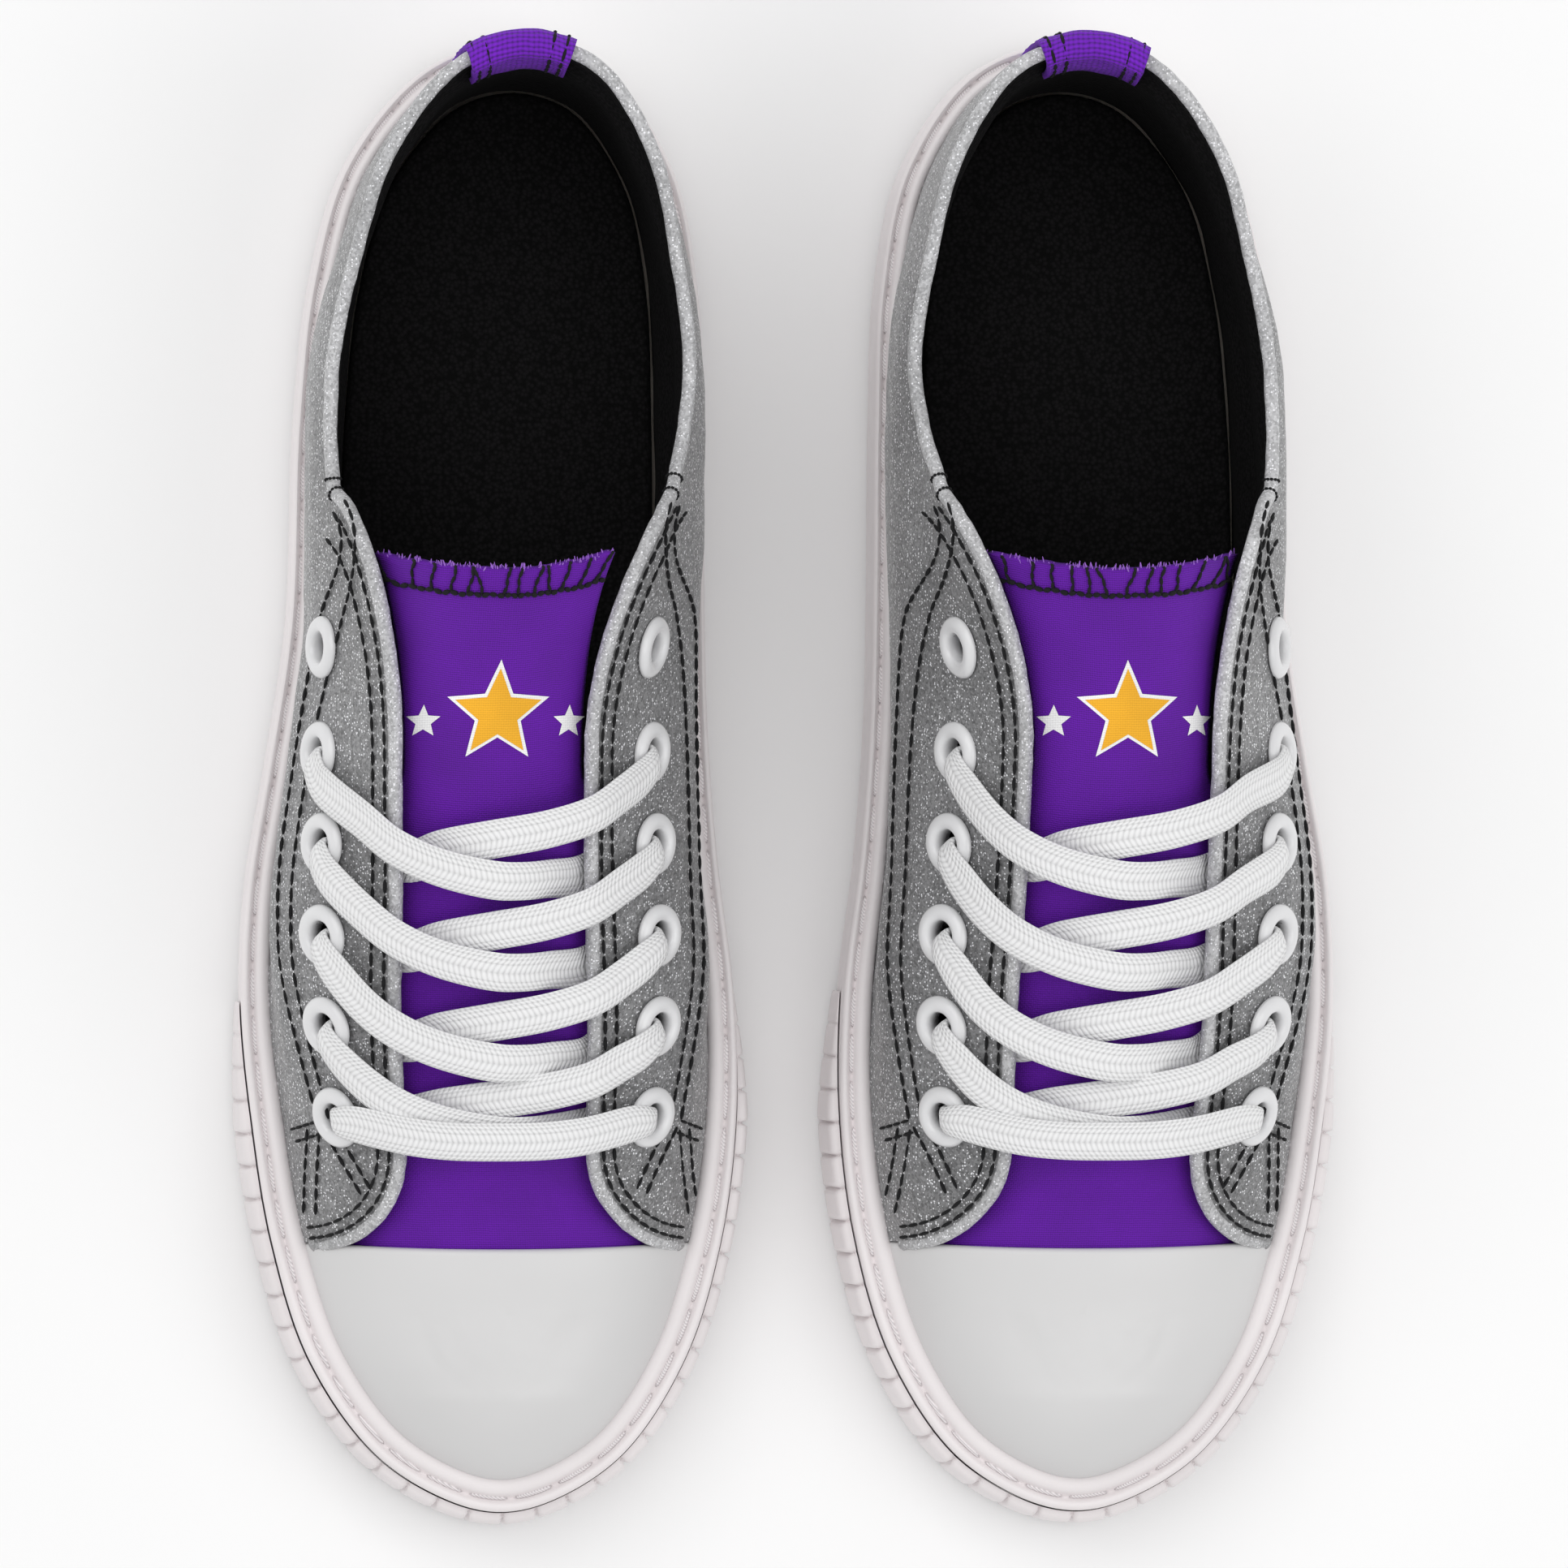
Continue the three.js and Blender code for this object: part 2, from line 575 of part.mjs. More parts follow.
// The strip's section is bent, so its two ends are closed by pairing its outer and inner points.
function stripSolid(rings, half) {
  const count = half * 2;
  const id = (ring, j) => ring * count + (j % count);
  const triangles = [];
  for (const i of range(rings.length - 1)) {
    for (const j of range(count)) {
      triangles.push(id(i, j), id(i + 1, j), id(i + 1, j + 1), id(i, j), id(i + 1, j + 1), id(i, j + 1));
    }
  }
  const last = rings.length - 1;
  for (const j of range(half - 1)) {
    const [a, b, c, d] = [j, j + 1, count - 2 - j, count - 1 - j];
    triangles.push(id(0, a), id(0, b), id(0, c), id(0, a), id(0, c), id(0, d));
    triangles.push(id(last, a), id(last, c), id(last, b), id(last, a), id(last, d), id(last, c));
  }
  return body(rings.flat(), triangles);
}

// ---- lace ----
// Place on the upper at signed plan distance x from the ridge, with a height off the surface.
function onUpper(x, y, height) {
  const side = x < 0 ? lateral : medial;
  const station = at(y);
  return upper(side, station, thetaAtX(side, station, Math.abs(x)), 0)
    .addScaledVector(ridgeNormal(x, y), height);
}
function ridgeNormal(x, y) {
  const side = x < 0 ? lateral : medial;
  const station = at(y);
  const m = meridian(side, station);
  const theta = Math.min(thetaAtX(side, station, Math.abs(x)), Math.PI / 2 - 0.02);
  const n = upperNormal(side, station, theta);
  const level = new THREE.Vector3(0, -0.35, 0.94);
  return Math.abs(x) < 4 ? n.lerp(level, (1 - Math.abs(x) / 4) * 0.9).normalize() : n;
}
// Down through one eyelet: over the flange, through the bore and back under the facing. The strand
// arrives up the facing at a slope, which is its fall along the shoe for each unit towards the middle.
function throughEyelet(side, row, slope, tucked = false) {
  const { station, theta, centre, normal } = eyeletSpot(side, row);
  const heading = (fall) => {
    const way = upper(side, station, theta + 0.05, 0).sub(centre);
    way.y -= way.length() * fall;
    return way.addScaledVector(normal, -way.dot(normal)).normalize();
  };
  const arriving = heading(slope);
  const leaving = heading(tucked ? -0.6 : 0.3);
  const over = [[6.6, 2.3, 0.1], [2.3, 2.4, 0.6], [0.5, 1.3, 1], [0, -0.8, 1]];
  const back = (tucked ? [[-0.6, -1, 1], [-3.5, -2.4, 0.5], [-9, -3.6, 0.3]]
    : [[0.6, -0.8, 1], [2.6, -1.9, 0.5], [5.6, -1.9, 0]]).map(([out, height, gathered]) => (
    [out, height - clothThickness, gathered]
  ));
  const under = tucked ? normal : normal.clone().negate();
  const aside = leaving.clone().negate();
  const facings = [normal, normal, normal.clone().sub(arriving), arriving.clone().negate(),
    aside.clone().add(under), under, under];
  return [...over, ...back].map(([out, height, gathered], i) => ({
    point: centre.clone()
      .addScaledVector(i < over.length ? arriving : leaving, out)
      .addScaledVector(normal, height),
    facing: facings[i].clone().normalize(),
    gathered,
  }));
}
// Each strand comes from under the far facing, crosses the tongue and climbs to its eyelet:
// [towards the eyelet's side from the middle, how far below the eyelet, height off the upper].
const underFacing = -1.9 - clothThickness;
const upperStrand = [[-18, 23, underFacing], [-10, 23.3, -1.2], [-5, 23.1, 0.6], [0, 22.6, 1.7],
  [9.5, 20.2, 1.9], [16.5, 16.6, 2.4], [21.5, 12.2, 2.4]];
const lowerStrand = [[-18, 20.8, underFacing], [-10, 18.2, -2], [-5, 16.8, -0.8], [0, 15.6, 0.1],
  [9.5, 13.4, 1.2], [16.5, 10.6, 2.4], [21.5, 7.2, 2.4]];
// across, towards the toe and up, for the bar; the lowest strands lie closer in, under it
const barStops = [[-15, 2.3, 3.2], [-8, 3, 3.4], [0, 3.2, 3.4], [8, 3, 3.4], [15, 2.3, 3.2]];
const lowestPull = 0.86;
const lowestSink = 0.5;
const upperSlope = 1.5;
const lowerSlope = 0.8;
function lace(overSide) {
  const stops = [];
  const strand = (side, row) => (side === overSide ? upperStrand : lowerStrand).map((stop) => {
    const lowest = row === eyeletRows - 2;
    const [x, fall, height] = stop;
    const y = rowY(row) - fall * (lowest ? lowestPull : 1);
    const point = onUpper(side * x, y, height - (lowest ? lowestSink : 0));
    return { point, facing: ridgeNormal(side * x, y), gathered: 0 };
  });
  const half = (side) => {
    // from the bar on this side up to the top laced pair
    const list = [];
    let here = side;
    for (let row = eyeletRows - 1; row >= 1; row -= 1) {
      const topPair = row === 1;
      const slope = row === eyeletRows - 1 ? 0.1 : (here === overSide && upperSlope) || lowerSlope;
      list.push(...throughEyelet(here, row, slope, topPair));
      if (!topPair) list.push(...strand(-here, row - 1));
      here = -here;
    }
    return list;
  };
  const right = half(medial);
  const left = half(lateral).reverse();
  const barY = rowY(eyeletRows - 1);
  const bar = barStops.map(([x, fall, height]) => {
    const y = barY - fall;
    return { point: onUpper(x, y, height), facing: ridgeNormal(x, y), gathered: 0 };
  });
  stops.push(...left, ...bar, ...right);
  // left half was walked backwards, so its faces are turned to keep one side of the tape up
  const rings = stops.map((stop, i) => {
    const before = stops[Math.max(i - 1, 0)].point;
    const after = stops[Math.min(i + 1, stops.length - 1)].point;
    const tangent = after.clone().sub(before).normalize();
    const facing = stop.facing.clone().addScaledVector(tangent, -stop.facing.dot(tangent)).normalize();
    const across = tangent.clone().cross(facing).normalize();
    const w = lerp(laceWidth, laceInHole[0], stop.gathered) / 2;
    const t = lerp(laceThickness, laceInHole[1], stop.gathered) / 2;
    return [[-w, -t], [w, -t], [w, t], [-w, t]].map(([a, b]) => (
      stop.point.clone().addScaledVector(across, a).addScaledVector(facing, b)
    ));
  });
  return swept(rings);
}

// ---- colours and assembly ----
const finish = (color, roughness, metalness = 0) => (
  new THREE.MeshStandardMaterial({ color, roughness, metalness })
);
const finishes = {
  rubber: finish('#e1dadc', 0.55),
  bumperRubber: finish('#dcd5d6', 0.6),
  capRubber: finish('#d7d7d6', 0.5),
  glitter: finish('#828284', 0.6, 0.2),
  binding: finish('#bebec0', 0.55, 0.15),
  purple: finish('#520f8c', 0.85),
  black: finish('#0c0c0e', 0.95),
  board: finish('#8a7a64', 0.9),
  foam: finish('#c9c2b6', 0.9),
  laceWhite: finish('#ececec', 0.8),
  enamel: finish('#e4e4e6', 0.3),
};

function shoe(prefix, mirrored) {
  const group = new THREE.Group();
  const put = (name, geometry, material) => {
    const mesh = new THREE.Mesh(geometry, material);
    mesh.name = `${prefix}_${name}`;
    group.add(mesh);
  };
  put('outsole', plate(gap, 0, outsoleThickness), finishes.bumperRubber);
  put('midsole', plate((y) => landAt(y) + gap, midsoleBottom, midsoleTop), finishes.foam);
  put('sidewall', sidewall(), finishes.rubber);
  put('toe_bumper', toeBumper(), finishes.bumperRubber);
  put('insole_board', plate(insideInset, featherZ, featherZ + boardThickness), finishes.board);
  const linerBottom = featherZ + boardThickness + gap;
  put('sockliner', plate(insideInset, linerBottom, linerBottom + socklinerThickness), finishes.black);
  put('toe_cap', toeCap(), finishes.capRubber);
  put('vamp', vamp(), finishes.purple);
  put('tongue_base', tongueBase(), finishes.purple);
  put('tongue_top', tongueTop(), finishes.purple);
  put('lateral_quarter', quarter(lateral), finishes.glitter);
  put('medial_quarter', quarter(medial), finishes.glitter);
  put('heel_counter', heelCounter(), finishes.board);
  put('lining', lining(), finishes.black);
  put('edge_binding', edgeBinding(), finishes.binding);
  put('heel_strip', heelStrip(), finishes.purple);
  put('lace', lace(mirrored ? medial : lateral), finishes.laceWhite);
  for (const [word, side] of [['lateral', lateral], ['medial', medial]]) {
    for (const row of range(eyeletRows)) put(`${word}_eyelet_${row + 1}`, eyelet(side, row), finishes.enamel);
  }
  const widest = Math.max(...range(200).map((i) => outlinePoint(i / 200, -gap - bumperThickness, 0).x));
  group.position.set((mirrored ? 1 : -1) * (widest + pairGap / 2), bumperThickness / 2, 0);
  group.scale.x = mirrored ? -1 : 1;
  return group;
}

const group = new THREE.Group();
group.add(shoe('right', false), shoe('left', true));
export default group;
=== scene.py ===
import math
import random

import bmesh
import bpy
import numpy as np
from mathutils import Matrix, Vector, noise


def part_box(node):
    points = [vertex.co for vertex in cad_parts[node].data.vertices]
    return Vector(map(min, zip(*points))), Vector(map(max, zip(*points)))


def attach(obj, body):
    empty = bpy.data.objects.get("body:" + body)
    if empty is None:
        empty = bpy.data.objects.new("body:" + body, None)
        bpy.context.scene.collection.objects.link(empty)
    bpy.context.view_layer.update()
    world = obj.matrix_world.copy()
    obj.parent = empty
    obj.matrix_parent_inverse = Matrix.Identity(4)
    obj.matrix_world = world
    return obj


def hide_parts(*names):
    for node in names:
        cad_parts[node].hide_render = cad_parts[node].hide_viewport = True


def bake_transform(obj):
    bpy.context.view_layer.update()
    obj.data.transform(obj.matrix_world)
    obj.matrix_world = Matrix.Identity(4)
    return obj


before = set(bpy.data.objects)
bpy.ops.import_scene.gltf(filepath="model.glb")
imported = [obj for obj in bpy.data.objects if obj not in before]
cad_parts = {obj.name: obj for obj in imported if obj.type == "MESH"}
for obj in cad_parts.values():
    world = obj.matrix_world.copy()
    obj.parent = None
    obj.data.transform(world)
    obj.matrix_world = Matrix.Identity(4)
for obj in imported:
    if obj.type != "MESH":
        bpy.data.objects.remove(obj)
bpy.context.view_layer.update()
random.seed(7)
print("frame loaded")

# Every piece is first shaped in millimetres about the middle of the right shoe: outer side at -x,
# toes at -y, floor at z = 0. The left shoe is its mirror image.
shoe = {
    "length": 271, "width": 92.4, "toeLand": 3.6, "waistLand": 3.2, "wallTop": 24, "wallBottom": 4.3,
    "feather": 12.3, "seat": 0.8, "toeCentre": -97.5, "heelCentre": 100.5, "cap": -85.7, "throat": -68.8,
    "corner": 51.45, "rows": [23.65, 4.4, -12.25, -28.9, -45.55, -62.2], "dip": 57, "back": 72,
    "backCrown": 125, "backRound": 3.2, "swell": 3.4, "lean": 4.2,
}
outer, inner = -1, 1


def lerp(a, b, t):
    return a + (b - a) * t


def clamp(x, low=0.0, high=1.0):
    return min(max(x, low), high)


def smooth(a, b, x):
    t = clamp((x - a) / (b - a))
    return t * t * (3 - 2 * t)


def along(pairs, y):
    # smooth line through (place, value) pairs
    if y <= pairs[0][0]:
        return pairs[0][1]
    if y >= pairs[-1][0]:
        return pairs[-1][1]
    i = max(k for k in range(len(pairs) - 1) if pairs[k][0] <= y)

    def slope(k):
        a, b = pairs[max(k - 1, 0)], pairs[min(k + 1, len(pairs) - 1)]
        return (b[1] - a[1]) / (b[0] - a[0])

    (y0, v0), (y1, v1) = pairs[i], pairs[i + 1]
    h = y1 - y0
    s = (y - y0) / h
    return (v0 * (2 * s**3 - 3 * s**2 + 1) + v1 * (3 * s**2 - 2 * s**3)
            + slope(i) * h * (s**3 - 2 * s**2 + s) + slope(i + 1) * h * (s**3 - s**2))


# ---- the sole's outline, in shares of half its width and length, from the heel round the outer side
outlineShares = [
    (0.1, 1), (-0.25, 0.967), (-0.575, 0.84), (-0.72, 0.68), (-0.785, 0.48), (-0.815, 0.21), (-0.9, 0.015),
    (-0.98, -0.15), (-1, -0.31), (-0.955, -0.48), (-0.877, -0.637), (-0.73, -0.793), (-0.465, -0.922),
    (-0.17, -0.985), (0.03, -1), (0.233, -0.985), (0.518, -0.922), (0.767, -0.793), (0.909, -0.637),
    (0.973, -0.467), (0.964, -0.296), (0.898, -0.11), (0.858, 0.074), (0.846, 0.26), (0.84, 0.48),
    (0.818, 0.667), (0.715, 0.83), (0.444, 0.96),
]
outlineKnots = [Vector((x * shoe["width"] / 2, y * shoe["length"] / 2)) for x, y in outlineShares]


def outlineSpot(share):
    # place and heading on the closed curve through the knots
    count = len(outlineKnots)
    at = (share % 1) * count
    i = int(at)
    w = at - i
    p = [outlineKnots[(i + k) % count] for k in (-1, 0, 1, 2)]
    d = [(p[k + 1] - p[k]).length ** 0.5 for k in range(3)]
    a = ((p[1] - p[0]) / d[0] - (p[2] - p[0]) / (d[0] + d[1]) + (p[2] - p[1]) / d[1]) * d[1]
    b = ((p[2] - p[1]) / d[1] - (p[3] - p[1]) / (d[1] + d[2]) + (p[3] - p[2]) / d[2]) * d[1]
    c2 = -3 * p[1] + 3 * p[2] - 2 * a - b
    c3 = 2 * p[1] - 2 * p[2] + a + b
    return p[1] + a * w + c2 * w**2 + c3 * w**3, (a + 2 * c2 * w + 3 * c3 * w**2).normalized()


def landAt(y):
    return lerp(shoe["toeLand"], shoe["waistLand"], smooth(shoe["cap"], shoe["cap"] + 100, y))


def outlinePoint(share, inwards, z):
    p, t = outlineSpot(share)
    return Vector((p.x - t.y * inwards, p.y + t.x * inwards, z))


evenLength = np.linspace(0, 1, 721)
outlineRun = [outlineSpot(u)[0] for u in evenLength]
runLengths = np.concatenate([[0], np.cumsum([(b - a).length for a, b in zip(outlineRun, outlineRun[1:])])])


def shareAt(length):
    # outline parameter at a length round the sole
    return float(np.interp(length % runLengths[-1], runLengths, evenLength))


def insetAt(share):
    return landAt(outlineSpot(share)[0].y) + shoe["seat"]


feather = np.array([outlinePoint(k / 280, insetAt(k / 280), 0)[:2] for k in range(280)])
featherNext = np.roll(feather, -1, axis=0)

# ---- the last: meridians rise from the feather line to a ridge over the foot
ridgeX = [(-97.5, 1.2), (-85.7, 0.4), (-68.8, -0.8), (4.4, -2.6), (23.65, -2), (51.45, 0), (100.5, 2.2)]
ridgeZ = [(-105.5, 43), (-97.5, 43), (-85.7, 47), (-68.8, 54.5), (23.65, 91), (51.45, 99), (100.5, 112)]
roundness = [(-97.5, 2.35), (-85.7, 2.3), (-68.8, 2.1), (-12.25, 2), (23.65, 2.2), (51.45, 3), (100.5, 3)]
meridians = {}


def meridian(side, station):
    # a station is (fan, y, angle): fan is "toe" or "heel" beyond the ends of the straight part
    key = (side, *station)
    if key in meridians:
        return meridians[key]
    fan, y, angle = station
    a = math.radians(angle)
    way = np.array([side * math.cos(a), -math.sin(a) if fan == "toe" else math.sin(a)])
    spine = np.array([along(ridgeX, y), y])
    edge = featherNext - feather
    off = feather - spine
    det = way[0] * edge[:, 1] - way[1] * edge[:, 0]
    det = np.where(abs(det) < 1e-9, 1e-9, det)
    reach = (off[:, 0] * edge[:, 1] - off[:, 1] * edge[:, 0]) / det
    share = (off[:, 0] * way[1] - off[:, 1] * way[0]) / det
    hit = reach[(reach > 0) & (share >= -1e-6) & (share <= 1 + 1e-6)]
    turn = angle / 90 if fan == "heel" else 0
    meridians[key] = {
        "spine": spine, "way": way, "reach": float(hit.min()),
        "crown": lerp(along(ridgeZ, y), shoe["backCrown"], turn),
        "power": lerp(along(roundness, y), shoe["backRound"], turn),
    }
    return meridians[key]


def at(y):
    return (None, y, 0)


def shaped(x, y, z):
    # the walls bulge over the sole beside the waist, and the back leans out over the heel
    top = shoe["wallTop"]
    height = smooth(top + shoe["seat"], top + 14, z) * (1 - smooth(shoe["dip"] - 10, shoe["dip"] + 12, z))
    behind = smooth(shoe["corner"] + 20, shoe["heelCentre"] + 15, y)
    waist = smooth(shoe["throat"], shoe["throat"] + 40, y) * (1 - behind)
    across = clamp((x - along(ridgeX, y)) / 35, -1, 1)
    lean = clamp((z - top) / (shoe["back"] - top), 0, 1.2) * smooth(shoe["corner"], shoe["length"] / 2, y)
    return Vector((x + shoe["swell"] * height * waist * across, y + shoe["lean"] * lean, z))


def lastPoint(side, station, theta, depth=0):
    # theta is 0 at the sole and a quarter turn at the ridge; depth goes inwards
    m = meridian(side, station)
    out = (m["reach"] - depth) * max(math.cos(theta), 0) ** (2 / m["power"])
    up = (m["crown"] - depth - shoe["feather"]) * max(math.sin(theta), 0) ** (2 / m["power"])
    return shaped(m["spine"][0] + m["way"][0] * out, m["spine"][1] + m["way"][1] * out, shoe["feather"] + up)


def thetaAtX(side, station, x, depth=0):
    m = meridian(side, station)
    return math.acos(clamp(x / (m["reach"] - depth)) ** (m["power"] / 2))


def thetaAtZ(side, station, z, depth=0):
    m = meridian(side, station)
    share = clamp((z - shoe["feather"]) / (m["crown"] - depth - shoe["feather"]))
    return math.asin(share ** (m["power"] / 2))


def evenThetas(side, station, start, end, count, depth=0):
    # angles an even distance apart over the surface
    m = meridian(side, station)
    t = np.linspace(start, end, 240)
    out = (m["reach"] - depth) * np.clip(np.cos(t), 0, 1) ** (2 / m["power"])
    up = (m["crown"] - depth - shoe["feather"]) * np.clip(np.sin(t), 0, 1) ** (2 / m["power"])
    length = np.concatenate([[0], np.cumsum(np.hypot(np.diff(out), np.diff(up)))])
    return [float(v) for v in np.interp(np.linspace(0, length[-1], count + 1), length, t)]


def lastNormal(side, station, theta):
    fan, y, angle = station
    ahead = lastPoint(side, (fan, y + 0.5, angle), theta) - lastPoint(side, (fan, y - 0.5, angle), theta)
    if fan:
        ahead = (lastPoint(side, (fan, y, angle - 1), theta)
                 - lastPoint(side, (fan, y, min(angle + 1, 90)), theta))
    rise = lastPoint(side, station, theta + 0.01) - lastPoint(side, station, theta - 0.01)
    n = ahead.cross(rise).normalized()
    return -n if n.x * side < 0 else n


def onUpper(x, y, height=0.0):
    # a place over the foot, by plan distance from the ridge, with a height off the surface
    side = outer if x < 0 else inner
    station = at(y)
    return lastPoint(side, station, thetaAtX(side, station, abs(x))) + ridgeNormal(x, y) * height


def ridgeNormal(x, y):
    side = outer if x < 0 else inner
    theta = min(thetaAtX(side, at(y), abs(x)), math.pi / 2 - 0.02)
    n = lastNormal(side, at(y), theta)
    level = Vector((0, -0.35, 0.94))
    return n.lerp(level, (1 - abs(x) / 4) * 0.9).normalized() if abs(x) < 4 else n


def wallPoint(side, station, z, depth=0.0):
    m = meridian(side, station)
    out = m["reach"] * math.cos(thetaAtZ(side, station, z)) ** (2 / m["power"]) - depth
    return shaped(m["spine"][0] + m["way"][0] * out, m["spine"][1] + m["way"][1] * out, z)


# ---- the quarters' upper edge: up the facing, round the corner and along the collar
facing = {"gap": 17, "binding": 1.2, "setback": 16.9, "footRound": 17, "cornerOut": 30.8}
boundEdge = facing["gap"] + facing["binding"] + 0.3


def edgeOut(y):
    f = clamp((shoe["throat"] - y) / facing["setback"])
    foot = (1 - math.sqrt(1 - f * f)) * facing["footRound"]
    flare = clamp((y - shoe["rows"][1]) / (shoe["corner"] - shoe["rows"][1])) ** 2
    return boundEdge + foot + flare * (facing["cornerOut"] - boundEdge)


def edgeTheta(side, station):
    fan, y, _ = station
    if not fan and y < shoe["corner"]:
        return thetaAtX(side, station, edgeOut(y))
    corner = at(shoe["corner"] - 1e-6)
    cornerZ = lastPoint(side, corner, thetaAtX(side, corner, edgeOut(corner[1]))).z
    baseY = lastPoint(side, station, 0).y
    spread = shoe["heelCentre"] - shoe["corner"]
    dip = smooth(shoe["corner"] - 12, shoe["corner"] + 0.55 * spread, baseY)
    back = smooth(shoe["corner"] + 0.4 * spread, shoe["length"] / 2 - shoe["waistLand"], baseY)
    z = lerp(lerp(cornerZ, shoe["dip"], dip), shoe["back"], back)
    return thetaAtZ(side, station, lerp(cornerZ, z, smooth(shoe["corner"] - 4, shoe["corner"] + 10, baseY)))


def straight(start, end, step):
    count = max(2, round((end - start) / step))
    return [at(lerp(start, end, k / count)) for k in range(count + 1)]


def heelFans(count, last=90):
    return [("heel", shoe["heelCentre"], last * (k + 1) / count) for k in range(count)]


def toeFans(count):
    return [("toe", shoe["toeCentre"], 90 * (k + 1) / count) for k in range(count)]


footTurn = [at(shoe["throat"] - facing["setback"] * math.cos(math.radians(a))) for a in range(0, 90, 5)]
quarterStations = footTurn + straight(shoe["throat"], shoe["heelCentre"], 1.5) + heelFans(34)

# ---- shared making ----
sides = {"right": outer, "left": inner}
shoeMiddle = {}
for name, side in sides.items():
    low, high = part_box(name + "_sidewall")
    reachOut = min(p.x for p in outlineRun)
    middle = low.x * 1000 - reachOut if name == "right" else high.x * 1000 + reachOut
    shoeMiddle[name] = Vector((middle, low.y * 1000 + shoe["length"] / 2, 0))
pieces = {}


def shellGrid(rows):
    # a grid of cloth through rows of points, with its UV map in metres measured over the surface
    nu, nv = len(rows) - 1, len(rows[0]) - 1
    bm = bmesh.new()
    bmesh.ops.create_grid(bm, x_segments=nu, y_segments=nv, size=0.5)
    uv = bm.loops.layers.uv.new("UVMap")
    xs = [v.co.x for v in bm.verts]
    low, span = min(xs), max(xs) - min(xs)
    place = {v: (round((v.co.x - low) / span * nu), round((v.co.y - low) / span * nv)) for v in bm.verts}
    points = np.array(rows, float)
    mid = nv // 2
    runU = np.concatenate([[0], np.cumsum(np.linalg.norm(np.diff(points[:, mid], axis=0), axis=1))])
    runV = np.cumsum(np.linalg.norm(np.diff(points, axis=1), axis=2), axis=1)
    runV = np.concatenate([np.zeros((nu + 1, 1)), runV], axis=1)
    runV -= runV[:, mid:mid + 1]
    for f in bm.faces:
        for loop in f.loops:
            i, j = place[loop.vert]
            loop[uv].uv = (runU[i] / 1000, runV[i, j] / 1000)
    for v, (i, j) in place.items():
        v.co = rows[i][j]
    bmesh.ops.remove_doubles(bm, verts=bm.verts, dist=1e-4)
    return bm


def faceOut(bm, probe):
    # turns the faces so that the one nearest the probe looks towards it
    bm.normal_update()
    near = min(bm.faces, key=lambda f: (f.calc_center_median() - Vector(probe)).length_squared)
    if near.normal.dot(Vector(probe) - near.calc_center_median()) < 0:
        bmesh.ops.reverse_faces(bm, faces=bm.faces)
    bm.normal_update()


def ripple(bm, height, size, seed):
    # soft unevenness of cloth, along the surface's own normals
    bm.normal_update()
    for v in bm.verts:
        v.co += v.normal * noise.noise(v.co / size + Vector((seed, 2 * seed, 0))) * height


def thicken(bm, amount):
    bm.normal_update()
    bmesh.ops.solidify(bm, geom=bm.faces[:] + bm.edges[:] + bm.verts[:], thickness=amount)


def make(part, bm, material, replaced=(), only=None, body="shoe", smoothed=True, sharp=None):
    # puts the piece under each shoe, or under one of them, in metres
    for name in [only] if only else ["right", "left"]:
        copy = bm.copy()
        mirror = -1 if name == "left" else 1
        bmesh.ops.transform(copy, matrix=Matrix.Diagonal((0.001 * mirror, 0.001, 0.001, 1)), verts=copy.verts)
        if mirror < 0:
            bmesh.ops.reverse_faces(copy, faces=copy.faces)
        bmesh.ops.translate(copy, vec=shoeMiddle[name] * 0.001, verts=copy.verts)
        mesh = bpy.data.meshes.new(name + part)
        copy.to_mesh(mesh)
        copy.free()
        mesh.materials.append(material)
        if smoothed:
            mesh.shade_smooth()
        piece = bpy.data.objects.new(name + part, mesh)
        bpy.context.scene.collection.objects.link(piece)
        if sharp:
            mesh.set_sharp_from_angle(angle=math.radians(sharp))
        if body == "shoe":
            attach(piece, name + "_shoe")
        if replaced:
            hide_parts(*[f"{name}_{node}" for node in replaced])
        pieces[name + part] = piece
    bm.free()


def turned(normal, run):
    # a matrix whose z runs along a stitch and whose y looks off the surface
    z = run.normalized()
    x = normal.cross(z).normalized()
    y = z.cross(x)
    return Matrix((x, y, z)).transposed().to_4x4()


def stitch(bm, a, b, normal, thick, sink=0.25):
    # one rounded stitch from a to b, lying in the cloth
    length = (b - a).length
    middle = (a + b) / 2 + normal * thick * (0.5 - sink)
    size = Matrix.Diagonal((thick / 2, thick / 2, length / 2, 1))
    matrix = Matrix.Translation(middle) @ turned(normal, b - a) @ size
    bmesh.ops.create_uvsphere(bm, u_segments=6, v_segments=5, radius=1, matrix=matrix)


def stitchRun(bm, points, normals, pitch, share, thick, sink=0.25):
    # stitches at an even pitch along a line of points
    length = np.concatenate([[0], np.cumsum([(b - a).length for a, b in zip(points, points[1:])])])
    count = max(1, round(length[-1] / pitch))
    step = length[-1] / count

    def spot(s):
        i = min(int(np.searchsorted(length, s, side="right")) - 1, len(points) - 2)
        t = (s - length[i]) / max(length[i + 1] - length[i], 1e-9)
        return points[i].lerp(points[i + 1], t), normals[i].lerp(normals[i + 1], t).normalized()

    for k in range(count):
        start = (k + (1 - share) / 2) * step
        a, n = spot(start)
        b, _ = spot(start + share * step)
        stitch(bm, a, b, n, thick * (1 + 0.12 * random.uniform(-1, 1)), sink)


# ---- materials ----
def newMaterial(name, color, roughness, **sockets):
    material = bpy.data.materials.new(name)
    material.use_nodes = True
    shader = material.node_tree.nodes["Principled BSDF"]
    shader.inputs["Base Color"].default_value = (*color, 1)
    shader.inputs["Roughness"].default_value = roughness
    for socket, value in sockets.items():
        shader.inputs[socket].default_value = value
    return material, material.node_tree, shader


